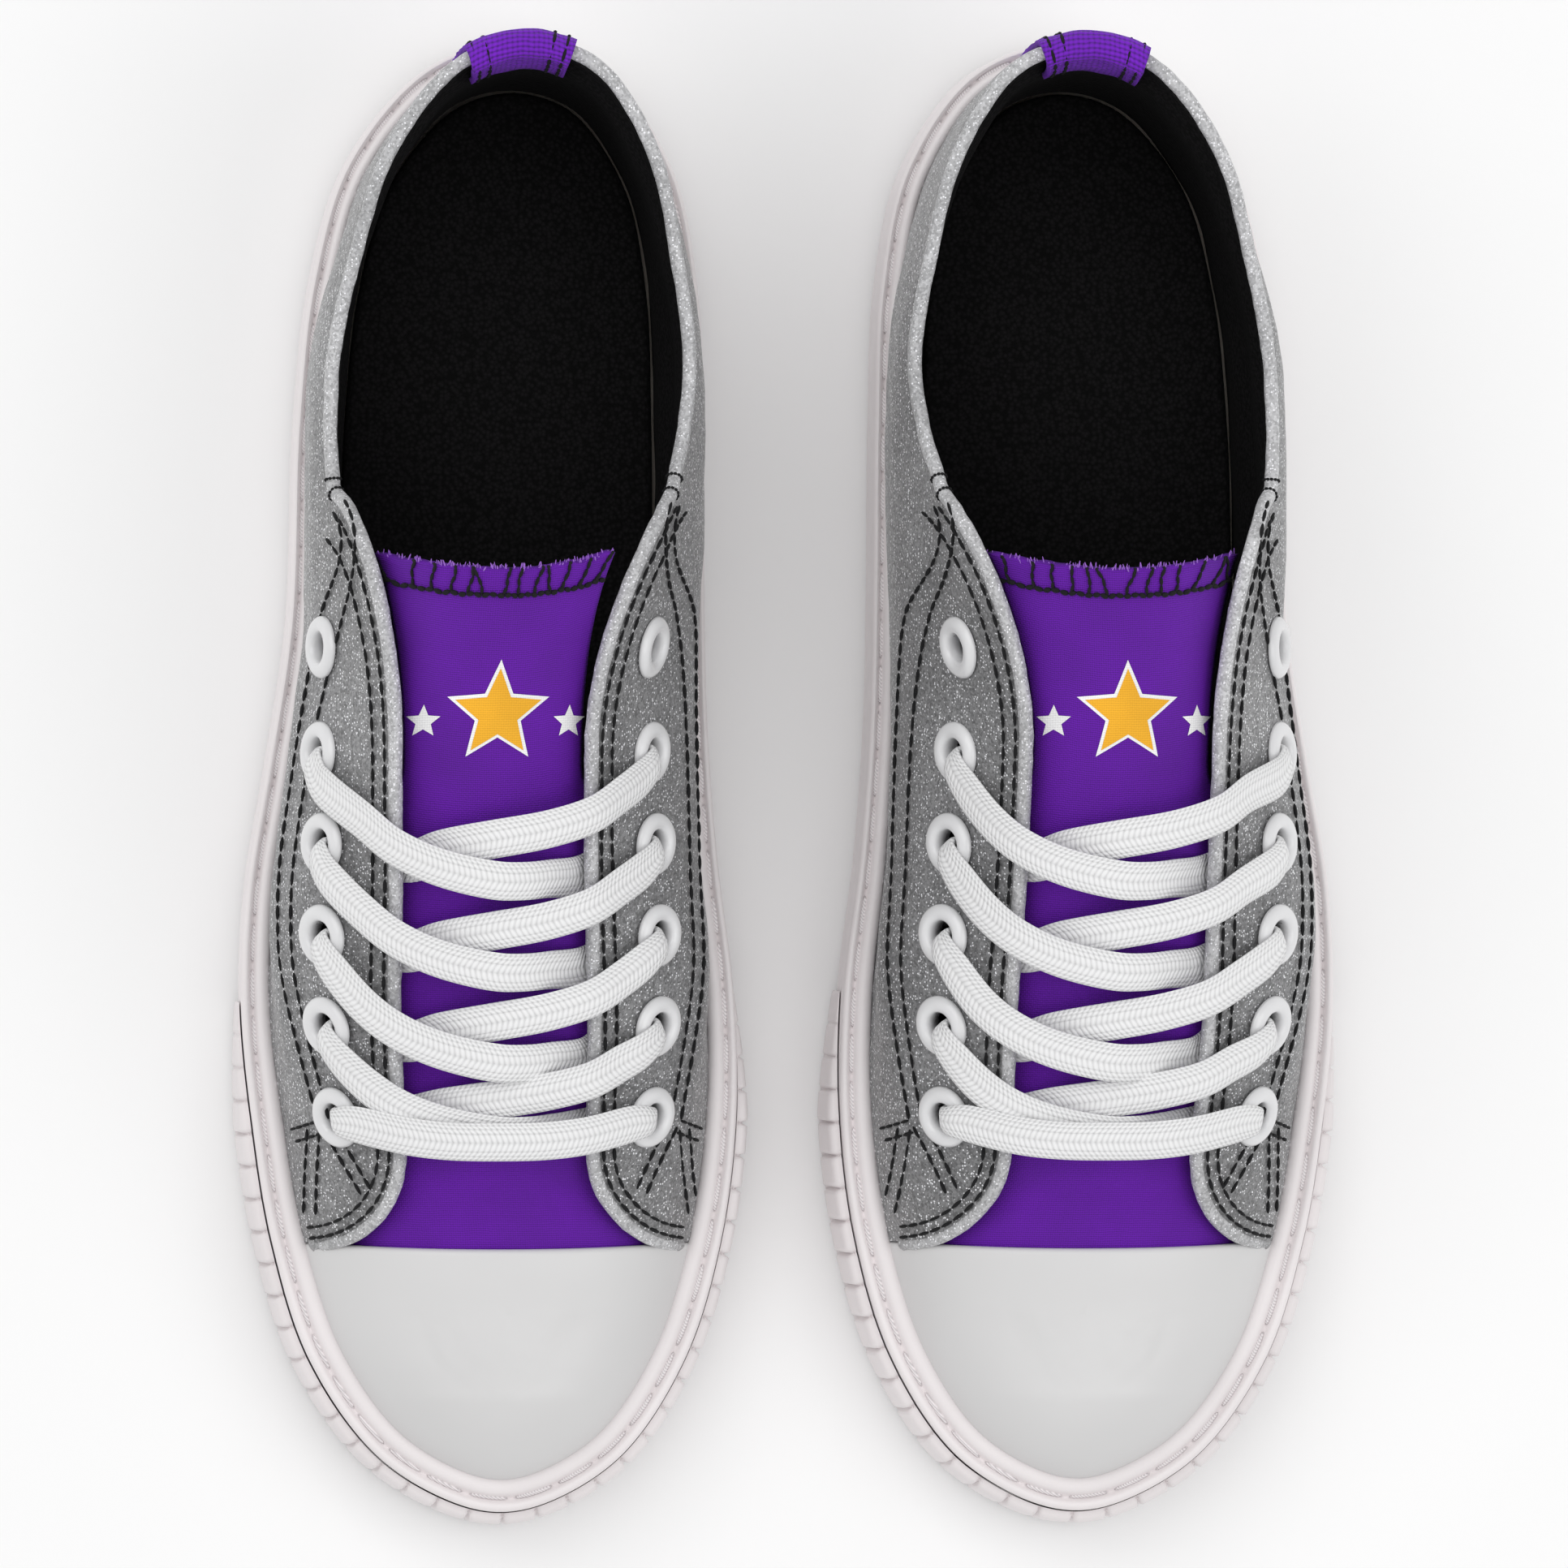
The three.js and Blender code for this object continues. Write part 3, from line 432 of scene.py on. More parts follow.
def add(tree, kind, links=None, **values):
    node = tree.nodes.new(kind)
    for name, value in values.items():
        if hasattr(node, name):
            setattr(node, name, value)
        else:
            node.inputs[name.replace("_", " ")].default_value = value
    for socket, source in (links or {}).items():
        tree.links.new(source, node.inputs[socket])
    return node


def ramp(tree, source, stops):
    node = add(tree, "ShaderNodeValToRGB", {"Fac": source})
    while len(node.color_ramp.elements) < len(stops):
        node.color_ramp.elements.new(0.5)
    for element, (place, color) in zip(node.color_ramp.elements, stops):
        element.position = place
        element.color = (*color, 1) if hasattr(color, "__len__") else (color, color, color, 1)
    return node.outputs["Color"]


def coords(tree, kind="Object", scale=1.0, turn=0.0):
    source = tree.nodes.new("ShaderNodeTexCoord").outputs[kind]
    mapping = add(tree, "ShaderNodeMapping", {"Vector": source})
    mapping.inputs["Scale"].default_value = scale if hasattr(scale, "__len__") else (scale,) * 3
    mapping.inputs["Rotation"].default_value = (0, 0, turn)
    return mapping.outputs["Vector"]


def mixColor(tree, a, b, fac, blend="MIX"):
    node = tree.nodes.new("ShaderNodeMix")
    node.data_type = "RGBA"
    node.blend_type = blend
    for socket, value in ((0, fac), (6, a), (7, b)):
        if isinstance(value, bpy.types.NodeSocket):
            tree.links.new(value, node.inputs[socket])
        else:
            node.inputs[socket].default_value = (*value, 1) if hasattr(value, "__len__") else value
    return node.outputs[2]


def mathNode(tree, operation, a, b=0.0):
    node = tree.nodes.new("ShaderNodeMath")
    node.operation = operation
    for k, value in enumerate((a, b)):
        if isinstance(value, bpy.types.NodeSocket):
            tree.links.new(value, node.inputs[k])
        else:
            node.inputs[k].default_value = value
    return node.outputs[0]


def bumped(tree, shader, height, strength, distance):
    node = add(tree, "ShaderNodeBump", {"Height": height})
    node.inputs["Strength"].default_value = strength
    node.inputs["Distance"].default_value = distance
    tree.links.new(node.outputs["Normal"], shader.inputs["Normal"])


def glitterCloth(name, dark, light, flecks, fleckSize, tone=(1, 1, 1.02)):
    # sparkling cloth: a mottled ground, dull grains and a scatter of flecks painted near-white, as painted
    # glints standing in for light caught by the glitter
    material, tree, shader = newMaterial(name, (0.2, 0.2, 0.2), 0.55)
    shader.inputs["Sheen Weight"].default_value = 0.15
    fine = add(tree, "ShaderNodeTexVoronoi", {"Vector": coords(tree, scale=1000 / fleckSize)}, Scale=1.0)
    split = add(tree, "ShaderNodeSeparateColor", {"Color": fine.outputs["Color"]})
    ground = ramp(tree, split.outputs["Green"], [(0.0, dark), (1.0, light)])
    cloud = add(tree, "ShaderNodeTexNoise", {"Vector": coords(tree, scale=45)}, Scale=1.0, Detail=3.0)
    clouds = ramp(tree, cloud.outputs["Fac"], [(0.3, 0.82), (0.7, 1.12)])
    ground = mixColor(tree, ground, clouds, 1.0, "MULTIPLY")
    ground = mixColor(tree, ground, tone, 1.0, "MULTIPLY")
    # painted glint: a few cells are painted near-white in the base colour in place of the light the glitter
    # flakes reflect
    glintCells = ramp(tree, split.outputs["Red"], [(flecks, 0.0), (min(flecks + 0.03, 0.99), 1.0)])
    core = ramp(tree, fine.outputs["Distance"], [(0.3, 1.0), (0.55, 0.0)])
    paintedGlint = mixColor(tree, glintCells, core, 1.0, "MULTIPLY")
    tree.links.new(mixColor(tree, ground, (0.97, 0.97, 1.0), paintedGlint), shader.inputs["Base Color"])
    shine = ramp(tree, split.outputs["Blue"], [(0.0, 0.3), (1.0, 0.75)])
    tree.links.new(shine, shader.inputs["Roughness"])
    grain = add(tree, "ShaderNodeTexNoise", {"Vector": coords(tree, scale=2200)}, Scale=1.0, Detail=2.0)
    height = mathNode(tree, "ADD", split.outputs["Blue"], grain.outputs["Fac"])
    bumped(tree, shader, height, 0.45, 0.00012)
    return material


def wovenCloth(name, color, pitch, depth, cross=1.0, roughness=0.85, sheen=0.25, shade=0.55):
    # plain weave on the piece's own UV map; pitch is the distance between threads, in mm
    material, tree, shader = newMaterial(name, color, roughness)
    shader.inputs["Sheen Weight"].default_value = sheen
    shader.inputs["Sheen Roughness"].default_value = 0.4
    uv = coords(tree, "UV", 1000 / pitch)
    wobble = add(tree, "ShaderNodeTexNoise", {"Vector": coords(tree, "UV", 260)}, Scale=1.0, Detail=2.0)
    shift = mathNode(tree, "MULTIPLY", wobble.outputs["Fac"], 0.9)
    moved = add(tree, "ShaderNodeVectorMath", {0: uv}, operation="ADD")
    tree.links.new(shift, moved.inputs[1])
    split = add(tree, "ShaderNodeSeparateXYZ", {0: moved.outputs[0]})
    warp = mathNode(tree, "SINE", mathNode(tree, "MULTIPLY", split.outputs["X"], math.pi))
    weft = mathNode(tree, "SINE", mathNode(tree, "MULTIPLY", split.outputs["Y"], math.pi))
    over = mathNode(tree, "MULTIPLY", warp, weft)
    ribs = mathNode(tree, "ABSOLUTE", warp)
    cells = mathNode(tree, "ABSOLUTE", weft)
    ribs = mathNode(tree, "MULTIPLY", ribs, cross)
    height = mathNode(tree, "ADD", ribs, mathNode(tree, "MULTIPLY", cells, 0.6))
    height = mathNode(tree, "ADD", height, mathNode(tree, "MULTIPLY", over, 0.35))
    # painted shade: the weave's low places are darkened with its height, down to shade at the bottom of the
    # hollows between threads
    tone = ramp(tree, mathNode(tree, "MULTIPLY", height, 0.6), [(0.1, shade), (0.75, 1.12)])
    fade = add(tree, "ShaderNodeTexNoise", {"Vector": coords(tree, "UV", 60)}, Scale=1.0, Detail=4.0)
    tone = mixColor(tree, tone, ramp(tree, fade.outputs["Fac"], [(0.3, 0.88), (0.7, 1.08)]), 1.0, "MULTIPLY")
    tree.links.new(mixColor(tree, tone, color, 1.0, "MULTIPLY"), shader.inputs["Base Color"])
    bumped(tree, shader, height, 0.8, depth / 1000)
    return material


def softRubber(name, color, roughness, grain=0.00003, mottle=0.04):
    material, tree, shader = newMaterial(name, color, roughness)
    cloud = add(tree, "ShaderNodeTexNoise", {"Vector": coords(tree, scale=35)}, Scale=1.0, Detail=4.0)
    tone = ramp(tree, cloud.outputs["Fac"], [(0.3, 1 - mottle), (0.7, 1 + mottle / 2)])
    tree.links.new(mixColor(tree, tone, color, 1.0, "MULTIPLY"), shader.inputs["Base Color"])
    fine = add(tree, "ShaderNodeTexNoise", {"Vector": coords(tree, scale=900)}, Scale=1.0, Detail=3.0)
    bumped(tree, shader, fine.outputs["Fac"], 0.35, grain)
    return material


def blackKnit(name):
    material, tree, shader = newMaterial(name, (0.004, 0.004, 0.005), 0.95)
    shader.inputs["Specular IOR Level"].default_value = 0.2
    spots = add(tree, "ShaderNodeTexVoronoi", {"Vector": coords(tree, scale=1300)}, Scale=1.0)
    tone = ramp(tree, spots.outputs["Distance"], [(0.1, (0.011, 0.010, 0.011)), (0.7, (0.002, 0.002, 0.002))])
    tree.links.new(tone, shader.inputs["Base Color"])
    bumped(tree, shader, spots.outputs["Distance"], 0.6, 0.0003)
    return material


def threadLook(name, color, roughness, turn=900):
    material, tree, shader = newMaterial(name, color, roughness)
    wave = add(tree, "ShaderNodeTexWave", {"Vector": coords(tree, scale=turn)}, Scale=1.0,
               bands_direction="DIAGONAL")
    # painted shade: the grooves of the twist are darker, following the same height as the bump
    tone = ramp(tree, wave.outputs["Fac"], [(0.0, 0.75), (1.0, 1.1)])
    tree.links.new(mixColor(tree, tone, color, 1.0, "MULTIPLY"), shader.inputs["Base Color"])
    bumped(tree, shader, wave.outputs["Fac"], 0.5, 0.0001)
    return material


def laceCloth(name, color):
    # flat woven tape: small slanting stitches that meet along the middle
    material, tree, shader = newMaterial(name, color, 0.75)
    shader.inputs["Sheen Weight"].default_value = 0.2
    uv = add(tree, "ShaderNodeSeparateXYZ", {0: coords(tree, "UV", 1000)})
    across = mathNode(tree, "ABSOLUTE", uv.outputs["Y"])
    run = mathNode(tree, "MULTIPLY", uv.outputs["X"], 3.1)
    slant = mathNode(tree, "ADD", run, mathNode(tree, "MULTIPLY", across, 1.8))
    ribs = mathNode(tree, "ABSOLUTE", mathNode(tree, "SINE", slant))
    columns = mathNode(tree, "SINE", mathNode(tree, "MULTIPLY", uv.outputs["Y"], 2.9))
    columns = mathNode(tree, "ABSOLUTE", columns)
    ribs = mathNode(tree, "MULTIPLY", ribs, 0.6)
    height = mathNode(tree, "ADD", ribs, mathNode(tree, "MULTIPLY", columns, 0.5))
    # painted shade: the low places between the stitches are darker, following the same height as the bump
    tone = ramp(tree, height, [(0.1, 0.78), (0.9, 1.04)])
    tree.links.new(mixColor(tree, tone, color, 1.0, "MULTIPLY"), shader.inputs["Base Color"])
    bumped(tree, shader, height, 0.9, 0.00026)
    return material


wallRubber = softRubber("wallRubber", (0.86, 0.815, 0.82), 0.5)
bumperRubber = softRubber("bumperRubber", (0.83, 0.785, 0.79), 0.55)
treadRubber = softRubber("treadRubber", (0.7, 0.65, 0.66), 0.6)
capRubber = softRubber("capRubber", (0.69, 0.685, 0.685), 0.42, grain=0.00001, mottle=0.02)
glitterCanvas = glitterCloth("glitterCanvas", 0.12, 0.3, 0.8, 0.4)
glitterBinding = glitterCloth("glitterBinding", 0.34, 0.62, 0.82, 0.4)
purpleCanvas = wovenCloth("purpleCanvas", (0.12, 0.001, 0.37), 0.42, 0.09, sheen=0.0)
purpleTape = wovenCloth("purpleTape", (0.16, 0.006, 0.5), 0.95, 0.3, sheen=0.05, shade=0.4)
purpleFray = wovenCloth("purpleFray", (0.3, 0.12, 0.55), 0.4, 0.05)
liningKnit = blackKnit("liningKnit")
blackThread = threadLook("blackThread", (0.002, 0.002, 0.003), 0.9)
foxingThread = threadLook("foxingThread", (0.82, 0.78, 0.79), 0.6)
laceWhite = laceCloth("laceWhite", (0.86, 0.86, 0.865))
whiteEnamel, _, _ = newMaterial("whiteEnamel", (0.78, 0.78, 0.79), 0.22)
whiteEnamel.node_tree.nodes["Principled BSDF"].inputs["Coat Weight"].default_value = 0.4
goldPrint = wovenCloth("goldPrint", (0.85, 0.42, 0.02), 0.42, 0.05, sheen=0.0, shade=0.9)
whitePrint = wovenCloth("whitePrint", (0.88, 0.88, 0.88), 0.42, 0.05, sheen=0.0, shade=0.92)
foam = softRubber("foam", (0.6, 0.56, 0.5), 0.9)
board = softRubber("board", (0.3, 0.22, 0.14), 0.9)
print("materials ready")

# ---- sole ----
sidewallSection = {
    # (share of the way from the outer face to the upper, height below the top)
    "profile": [
        (0.0, -19.7), (0.0, -16.2), (0.03, -15.6), (0.0, -15.0), (0.0, -3.6), (0.03, -3.1), (0.0, -2.6),
        (0.0, -1.4), (0.03, -0.8), (0.08, -0.4), (0.15, -0.25), (0.22, -0.4), (0.27, -0.9), (0.31, -1.5),
        (0.36, -1.7), (0.41, -1.4), (0.44, -0.7), (0.5, 0.0), (0.58, 0.4), (0.68, 0.55), (0.8, 0.4),
        (0.9, 0.0), (0.97, -0.6), (1.0, -1.3),
    ],
    "reach": [(-135, 6.7), (-97, 6.6), (-69, 5.9), (-12, 4.8), (25, 4.5), (135, 4.4)],
    "steps": 400, "groove": 0.36, "threadPitch": 8.6, "threadShare": 0.86, "threadWidth": 1.2,
}


def lipReach(u):
    return along(sidewallSection["reach"], outlineSpot(u)[0].y)


def sidewall():
    section = sidewallSection["profile"]
    steps = sidewallSection["steps"]
    rows = []
    for k in range(steps + 1):
        u = shareAt(runLengths[-1] * k / steps) if k < steps else 0
        reach, land = lipReach(u), landAt(outlineSpot(u)[0].y)
        ring = [outlinePoint(u, s * reach, shoe["wallTop"] + z) for s, z in section]
        ring += [outlinePoint(u, land, 12.4), outlinePoint(u, land, shoe["wallBottom"])]
        rows.append(ring + ring[:1])
    bm = shellGrid(rows)
    faceOut(bm, (-200, 0, 15))
    make("Sidewall", bm, wallRubber, ["sidewall"], sharp=50)


def foxingStitches():
    # sewn thread lying in the groove, pulled down into the rubber at every hole
    bm = bmesh.new()
    points = []
    for k in range(600):
        u = shareAt(runLengths[-1] * k / 599) if k < 599 else 0
        points.append(outlinePoint(u, sidewallSection["groove"] * lipReach(u), shoe["wallTop"] - 1.75))
    stitchRun(bm, points, [Vector((0, 0, 1))] * len(points), sidewallSection["threadPitch"],
              sidewallSection["threadShare"], sidewallSection["threadWidth"])
    make("FoxingThread", bm, foxingThread)


bumper = {
    "start": 0.285, "end": 0.715, "thick": 2.6, "height": 20.5,
    "ribPitch": 6.1, "groove": 1.15, "grooveWidth": 0.62,
}


def toeBumper():
    length0, length1 = [float(np.interp(bumper[k], evenLength, runLengths)) for k in ("start", "end")]
    ribs = round((length1 - length0) / bumper["ribPitch"])
    # most of the steps across a rib are beside its grooves
    ribSteps = [0, 0.03, 0.06, 0.1, 0.2, 0.35, 0.5, 0.65, 0.8, 0.9, 0.94, 0.97]
    perRib = len(ribSteps)
    rows = []
    for k in range(ribs * perRib + 1):
        t = (k // perRib + ribSteps[k % perRib]) / ribs
        u = shareAt(lerp(length0, length1, t))
        taper = min(1, 0.12 + 9 * min(t, 1 - t))
        inRib = abs(ribSteps[k % perRib] - 0.5) * 2
        lip = 1 - 2 * bumper["grooveWidth"] / bumper["ribPitch"]
        cut = bumper["groove"] * smooth(lip, 1.0, inRib) * taper
        thick = bumper["thick"] * taper
        top = bumper["height"] - (1 - taper) * 5
        section = [(0.3, 1.0), (0.3 + thick - 0.3, 1.0), (0.3 + thick - cut, 1.5), (0.3 + thick - cut, 5),
                   (0.3 + thick * 0.92 - cut, 11), (0.3 + thick * 0.82 - cut, top - 2.2),
                   (0.3 + thick * 0.74 - cut, top - 1.1), (0.3 + thick * 0.58 - cut, top - 0.35),
                   (0.3 + thick * 0.35 - cut * 0.6, top - cut * 0.6), (0.3, top - cut * 0.6)]
        rows.append([outlinePoint(u, -max(d, 0.3), z) for d, z in section + section[:1]])
    bm = shellGrid(rows)
    bmesh.ops.holes_fill(bm, edges=[e for e in bm.edges if e.is_boundary])
    faceOut(bm, (0, -300, 10))
    make("ToeBumper", bm, bumperRubber, ["toe_bumper"], sharp=60)


outsole = {"inset": 0.5, "lug": 1.1, "thick": 4, "pitch": 7.4, "lugSize": 2.9, "margin": 5.5}


def soleLoop(bm, inset, z, count=200):
    circle = bmesh.ops.create_circle(bm, cap_ends=True, segments=count, radius=1)["verts"]
    order = sorted(circle, key=lambda v: math.atan2(v.co.y, v.co.x))
    start = min(range(count), key=lambda k: abs(math.atan2(order[k].co.y, order[k].co.x) - math.pi / 2))
    for k in range(count):
        u = shareAt(runLengths[-1] * k / count)
        order[(start + k) % count].co = outlinePoint(u, inset(u), z)
    return [f for f in bm.faces if set(f.verts) == set(circle)]


def plate(inset, bottom, top, rounding, segments=3):
    bm = bmesh.new()
    face = soleLoop(bm, inset, bottom)[0]
    raised = bmesh.ops.extrude_face_region(bm, geom=[face])["geom"]
    upperVerts = [g for g in raised if isinstance(g, bmesh.types.BMVert)]
    bmesh.ops.translate(bm, vec=(0, 0, top - bottom), verts=upperVerts)
    bmesh.ops.recalc_face_normals(bm, faces=bm.faces)
    rims = [e for e in bm.edges if abs(e.verts[0].co.z - e.verts[1].co.z) < 0.01]
    bmesh.ops.bevel(bm, geom=rims, offset=rounding, segments=segments, profile=0.5,
                    affect="EDGES", material=-1)
    bmesh.ops.triangulate(bm, faces=[f for f in bm.faces if len(f.verts) > 4])
    return bm


def outsoleWithLugs():
    bm = plate(lambda u: outsole["inset"], outsole["lug"], outsole["thick"], 0.6)
    margin = np.array([outlinePoint(k / 200, outsole["margin"], 0)[:2] for k in range(200)])
    for row in range(-20, 21):
        for col in range(-8, 9):
            x = (col + 0.5 * (row % 2)) * outsole["pitch"]
            y = row * outsole["pitch"] * 0.87
            ahead = np.roll(margin, -1, axis=0)
            crossing = ((margin[:, 1] > y) != (ahead[:, 1] > y))
            climb = np.where(crossing, ahead[:, 1] - margin[:, 1], 1)
            xs = margin[:, 0] + (y - margin[:, 1]) / climb * (ahead[:, 0] - margin[:, 0])
            if np.count_nonzero(crossing & (x < xs)) % 2 == 0:
                continue
            turn = Matrix.Rotation(math.radians(30), 4, "Z")
            matrix = Matrix.Translation((x, y, outsole["lug"] / 2 + 0.05)) @ turn
            bmesh.ops.create_cone(bm, cap_ends=True, segments=6,
                                  radius1=outsole["lugSize"], radius2=outsole["lugSize"] + 0.5,
                                  depth=outsole["lug"] + 0.1, matrix=matrix)
    make("Outsole", bm, treadRubber, ["outsole"], sharp=35)


def sockliner():
    bm = plate(lambda u: insetAt(u) + 5.2, 13.8, 18.6, 1.6)
    bmesh.ops.subdivide_edges(bm, edges=[e for e in bm.edges if e.calc_length() > 12], cuts=2)
    make("Sockliner", bm, liningKnit, ["sockliner"])


sidewall()
foxingStitches()
toeBumper()
outsoleWithLugs()
sockliner()
print("soles made")

# ---- upper ----
cap = {"thick": 2.2, "edgeRound": 0.9, "pull": 1.0, "blend": 16, "passes": 90, "merge": 0.9}


def crossRows(stations, half, depthAt, foot=None):
    # rows that cross the ridge from the outer side to the inner side
    rows = []
    for station in stations:
        depth = depthAt(station[1] if not station[0] else station[1] - station[2])
        row = []
        for side in (outer, inner):
            start = foot(side, station, depth) if foot else 0
            thetas = evenThetas(side, station, start, math.pi / 2, half, depth)
            line = [lastPoint(side, station, t, depth) for t in thetas]
            row += line if side == outer else line[::-1][1:]
        rows.append(row)
    return rows


def toeCap():
    stations = straight(shoe["toeCentre"], shoe["cap"] - 0.15, 1.2)[::-1] + toeFans(40)
    rows = crossRows(stations, 44, lambda y: 0)
    # the rear edge bows a little towards the toe in the middle
    for row in rows:
        for p in row:
            share = 1 - clamp(abs(p.x) / 42) ** 2
            p.y -= cap["pull"] * (share - 0.3) * smooth(shoe["toeCentre"] - 6, shoe["cap"], p.y)
    bm = shellGrid(rows)
    # the fans' slivers round their middle are merged before the crease there is smoothed out
    middle = onUpper(0, shoe["toeCentre"])
    slivers = [v for v in bm.verts if (v.co - middle).length < cap["blend"]]
    bmesh.ops.remove_doubles(bm, verts=slivers, dist=cap["merge"])
    crease = [v for v in bm.verts if abs(v.co.y - shoe["toeCentre"]) < cap["blend"] and v.co.z > 28]
    for _ in range(cap["passes"]):
        bmesh.ops.smooth_vert(bm, verts=crease, factor=0.5, use_axis_z=True)
    faceOut(bm, (0, -110, 200))
    thicken(bm, cap["thick"])
    bm.normal_update()
    creased = [e for e in bm.edges if len(e.link_faces) == 2 and e.calc_face_angle(0) > 1.0]
    rear = [e for e in creased if e.verts[0].co.y > shoe["cap"] - 4]
    bmesh.ops.bevel(bm, geom=rear, offset=cap["edgeRound"], segments=3, profile=0.5,
                    affect="EDGES", material=-1)
    make("ToeCap", bm, capRubber, ["toe_cap"], sharp=60)


vampSize = {"depth": 3.0, "dip": 4.9, "thick": 1.2}


def vampDepth(y):
    return lerp(vampSize["depth"], vampSize["dip"], smooth(shoe["cap"] - 2, shoe["throat"] - 6, y))


def vamp():
    rows = crossRows(straight(shoe["cap"] - 10, shoe["throat"] + 1, 0.9), 34, vampDepth)
    bm = shellGrid(rows)
    faceOut(bm, (0, -70, 200))
    ripple(bm, 0.3, 9, 3)
    thicken(bm, vampSize["thick"])
    make("Vamp", bm, purpleCanvas, ["vamp"])


def eyeletSpot(side, row):
    station = at(shoe["rows"][row])
    theta = thetaAtX(side, station, facing["gap"] + eyelet["out"])
    return station, theta, lastPoint(side, station, theta), lastNormal(side, station, theta)


eyelet = {
    "out": 11.3, "steps": 36,
    "profile": [(2.7, -2.3), (2.7, 0.3), (2.85, 0.9), (3.3, 1.35), (3.95, 1.5), (4.6, 1.42),
                (5.2, 1.1), (5.65, 0.6), (5.8, 0.1),
                (5.6, -0.1), (3.15, -0.1), (3.1, -2.3)],
}


def eyelets():
    for word, side in (("lateral", outer), ("medial", inner)):
        for row in range(6):
            _, _, centre, normal = eyeletSpot(side, row)
            bm = bmesh.new()
            ring = [bm.verts.new((r, 0, z)) for r, z in eyelet["profile"]]
            edges = [bm.edges.new((a, b)) for a, b in zip(ring, ring[1:] + ring[:1])]
            bmesh.ops.spin(bm, geom=ring + edges, cent=(0, 0, 0), axis=(0, 0, 1), angle=2 * math.pi,
                           steps=eyelet["steps"], use_merge=True, use_duplicate=False)
            bmesh.ops.recalc_face_normals(bm, faces=bm.faces)
            turn = Vector((0, 0, 1)).rotation_difference(normal).to_matrix().to_4x4()
            bmesh.ops.transform(bm, matrix=Matrix.Translation(centre + normal * 0.35) @ turn, verts=bm.verts)
            node = f"{word}_eyelet_{row + 1}"
            make(f"Eyelet{word.title()}{row + 1}", bm, whiteEnamel, [node])


quarter = {"thick": 1.8, "across": 46, "hole": 3.5, "swell": 0.45, "swellSize": 14}


def holed(bm, side):
    holes = [eyeletSpot(side, row)[2] for row in range(6)]
    gone = [f for f in bm.faces if any((f.calc_center_median() - h).length < quarter["hole"] for h in holes)]
    bmesh.ops.delete(bm, geom=gone, context="FACES")


def quarters():
    for word, side in (("lateral", outer), ("medial", inner)):
        rows = []
        for station in quarterStations:
            thetas = evenThetas(side, station, 0, edgeTheta(side, station), quarter["across"])
            rows.append([lastPoint(side, station, t) for t in thetas])
        bm = shellGrid(rows)
        faceOut(bm, (side * 200, 0, 60))
        ripple(bm, quarter["swell"], quarter["swellSize"], 5 + side)
        ripple(bm, 0.12, 3.5, 9 + side)
        holed(bm, side)
        thicken(bm, quarter["thick"])
        make(f"Quarter{word.title()}", bm, glitterCanvas, [f"{word}_quarter"], sharp=60)


def edgeSpot(side, station, depth=0.0, back=0.0):
    return lastPoint(side, station, edgeTheta(side, station) - back, depth)


def linings():
    # knit inside the foot, reaching up to the binding
    rows = []
    stations = straight(shoe["rows"][5], shoe["heelCentre"], 2.2) + heelFans(24)
    turns = [(outer, s) for s in stations] + [(inner, s) for s in stations[-2::-1]]
    for side, station in turns:
        edgeZ = edgeSpot(side, station).z - 0.6
        behind = 1 if station[0] else smooth(shoe["rows"][0] + 8, shoe["corner"] + 6, station[1])
        top = lerp(36, edgeZ, behind)
        row = []
        for k in range(31):
            z = lerp(shoe["feather"] + 2, top, k / 30)
            depth = lerp(4.6, 2.4, smooth(edgeZ - 12, edgeZ - 3, z))
            row.append(lastPoint(side, station, thetaAtZ(side, station, z, depth), depth))
        rows.append(row)
    bm = shellGrid(rows)
    faceOut(bm, (0, 60, 50))
    ripple(bm, 0.3, 12, 4)
    thicken(bm, 1.0)
    make("Lining", bm, liningKnit, ["lining"])
    # knit backing under the two facings
    for word, side in (("Lateral", outer), ("Medial", inner)):
        rows = []
        for station in footTurn[6:] + straight(shoe["throat"], shoe["corner"] + 6, 1.6):
            edge = edgeTheta(side, station)
            low = thetaAtZ(side, station, 33)
            thetas = evenThetas(side, station, min(low, edge - 0.05), edge + 0.012, 30)
            rows.append([lastPoint(side, station, t, 2.4) for t in thetas])
        bm = shellGrid(rows)
        faceOut(bm, (0, 0, 0))
        holed(bm, side)
        thicken(bm, 0.5)
        make(f"FacingLining{word}", bm, liningKnit)


binding = {"wide": 2.5, "thick": 2.5, "points": 12, "over": 0.8}


def bindingRings():
    stations = quarterStations[1:]
    stops = [(outer, s) for s in stations] + [(inner, s) for s in stations[-2::-1]]
    points = [edgeSpot(side, s, quarter["thick"] / 2) for side, s in stops]
    rows = []
    frames = []
    for i, (side, station) in enumerate(stops):
        tangent = (points[min(i + 1, len(points) - 1)] - points[max(i - 1, 0)]).normalized()
        away = points[i] - edgeSpot(side, station, quarter["thick"] / 2, 0.02)
        away = (away - tangent * away.dot(tangent)).normalized()
        across = tangent.cross(away)
        centre = points[i] + away * (binding["wide"] / 2 - binding["over"])
        ring = []
        for k in range(binding["points"] + 1):
            a = 2 * math.pi * k / binding["points"]
            c, s = math.cos(a), math.sin(a)
            ring.append(centre + away * binding["wide"] / 2 * math.copysign(abs(c) ** 0.8, c)
                        + across * binding["thick"] / 2 * math.copysign(abs(s) ** 0.8, s))
        rows.append(ring)
        frames.append((points[i], tangent, away, across, centre))
    return rows, frames, stops


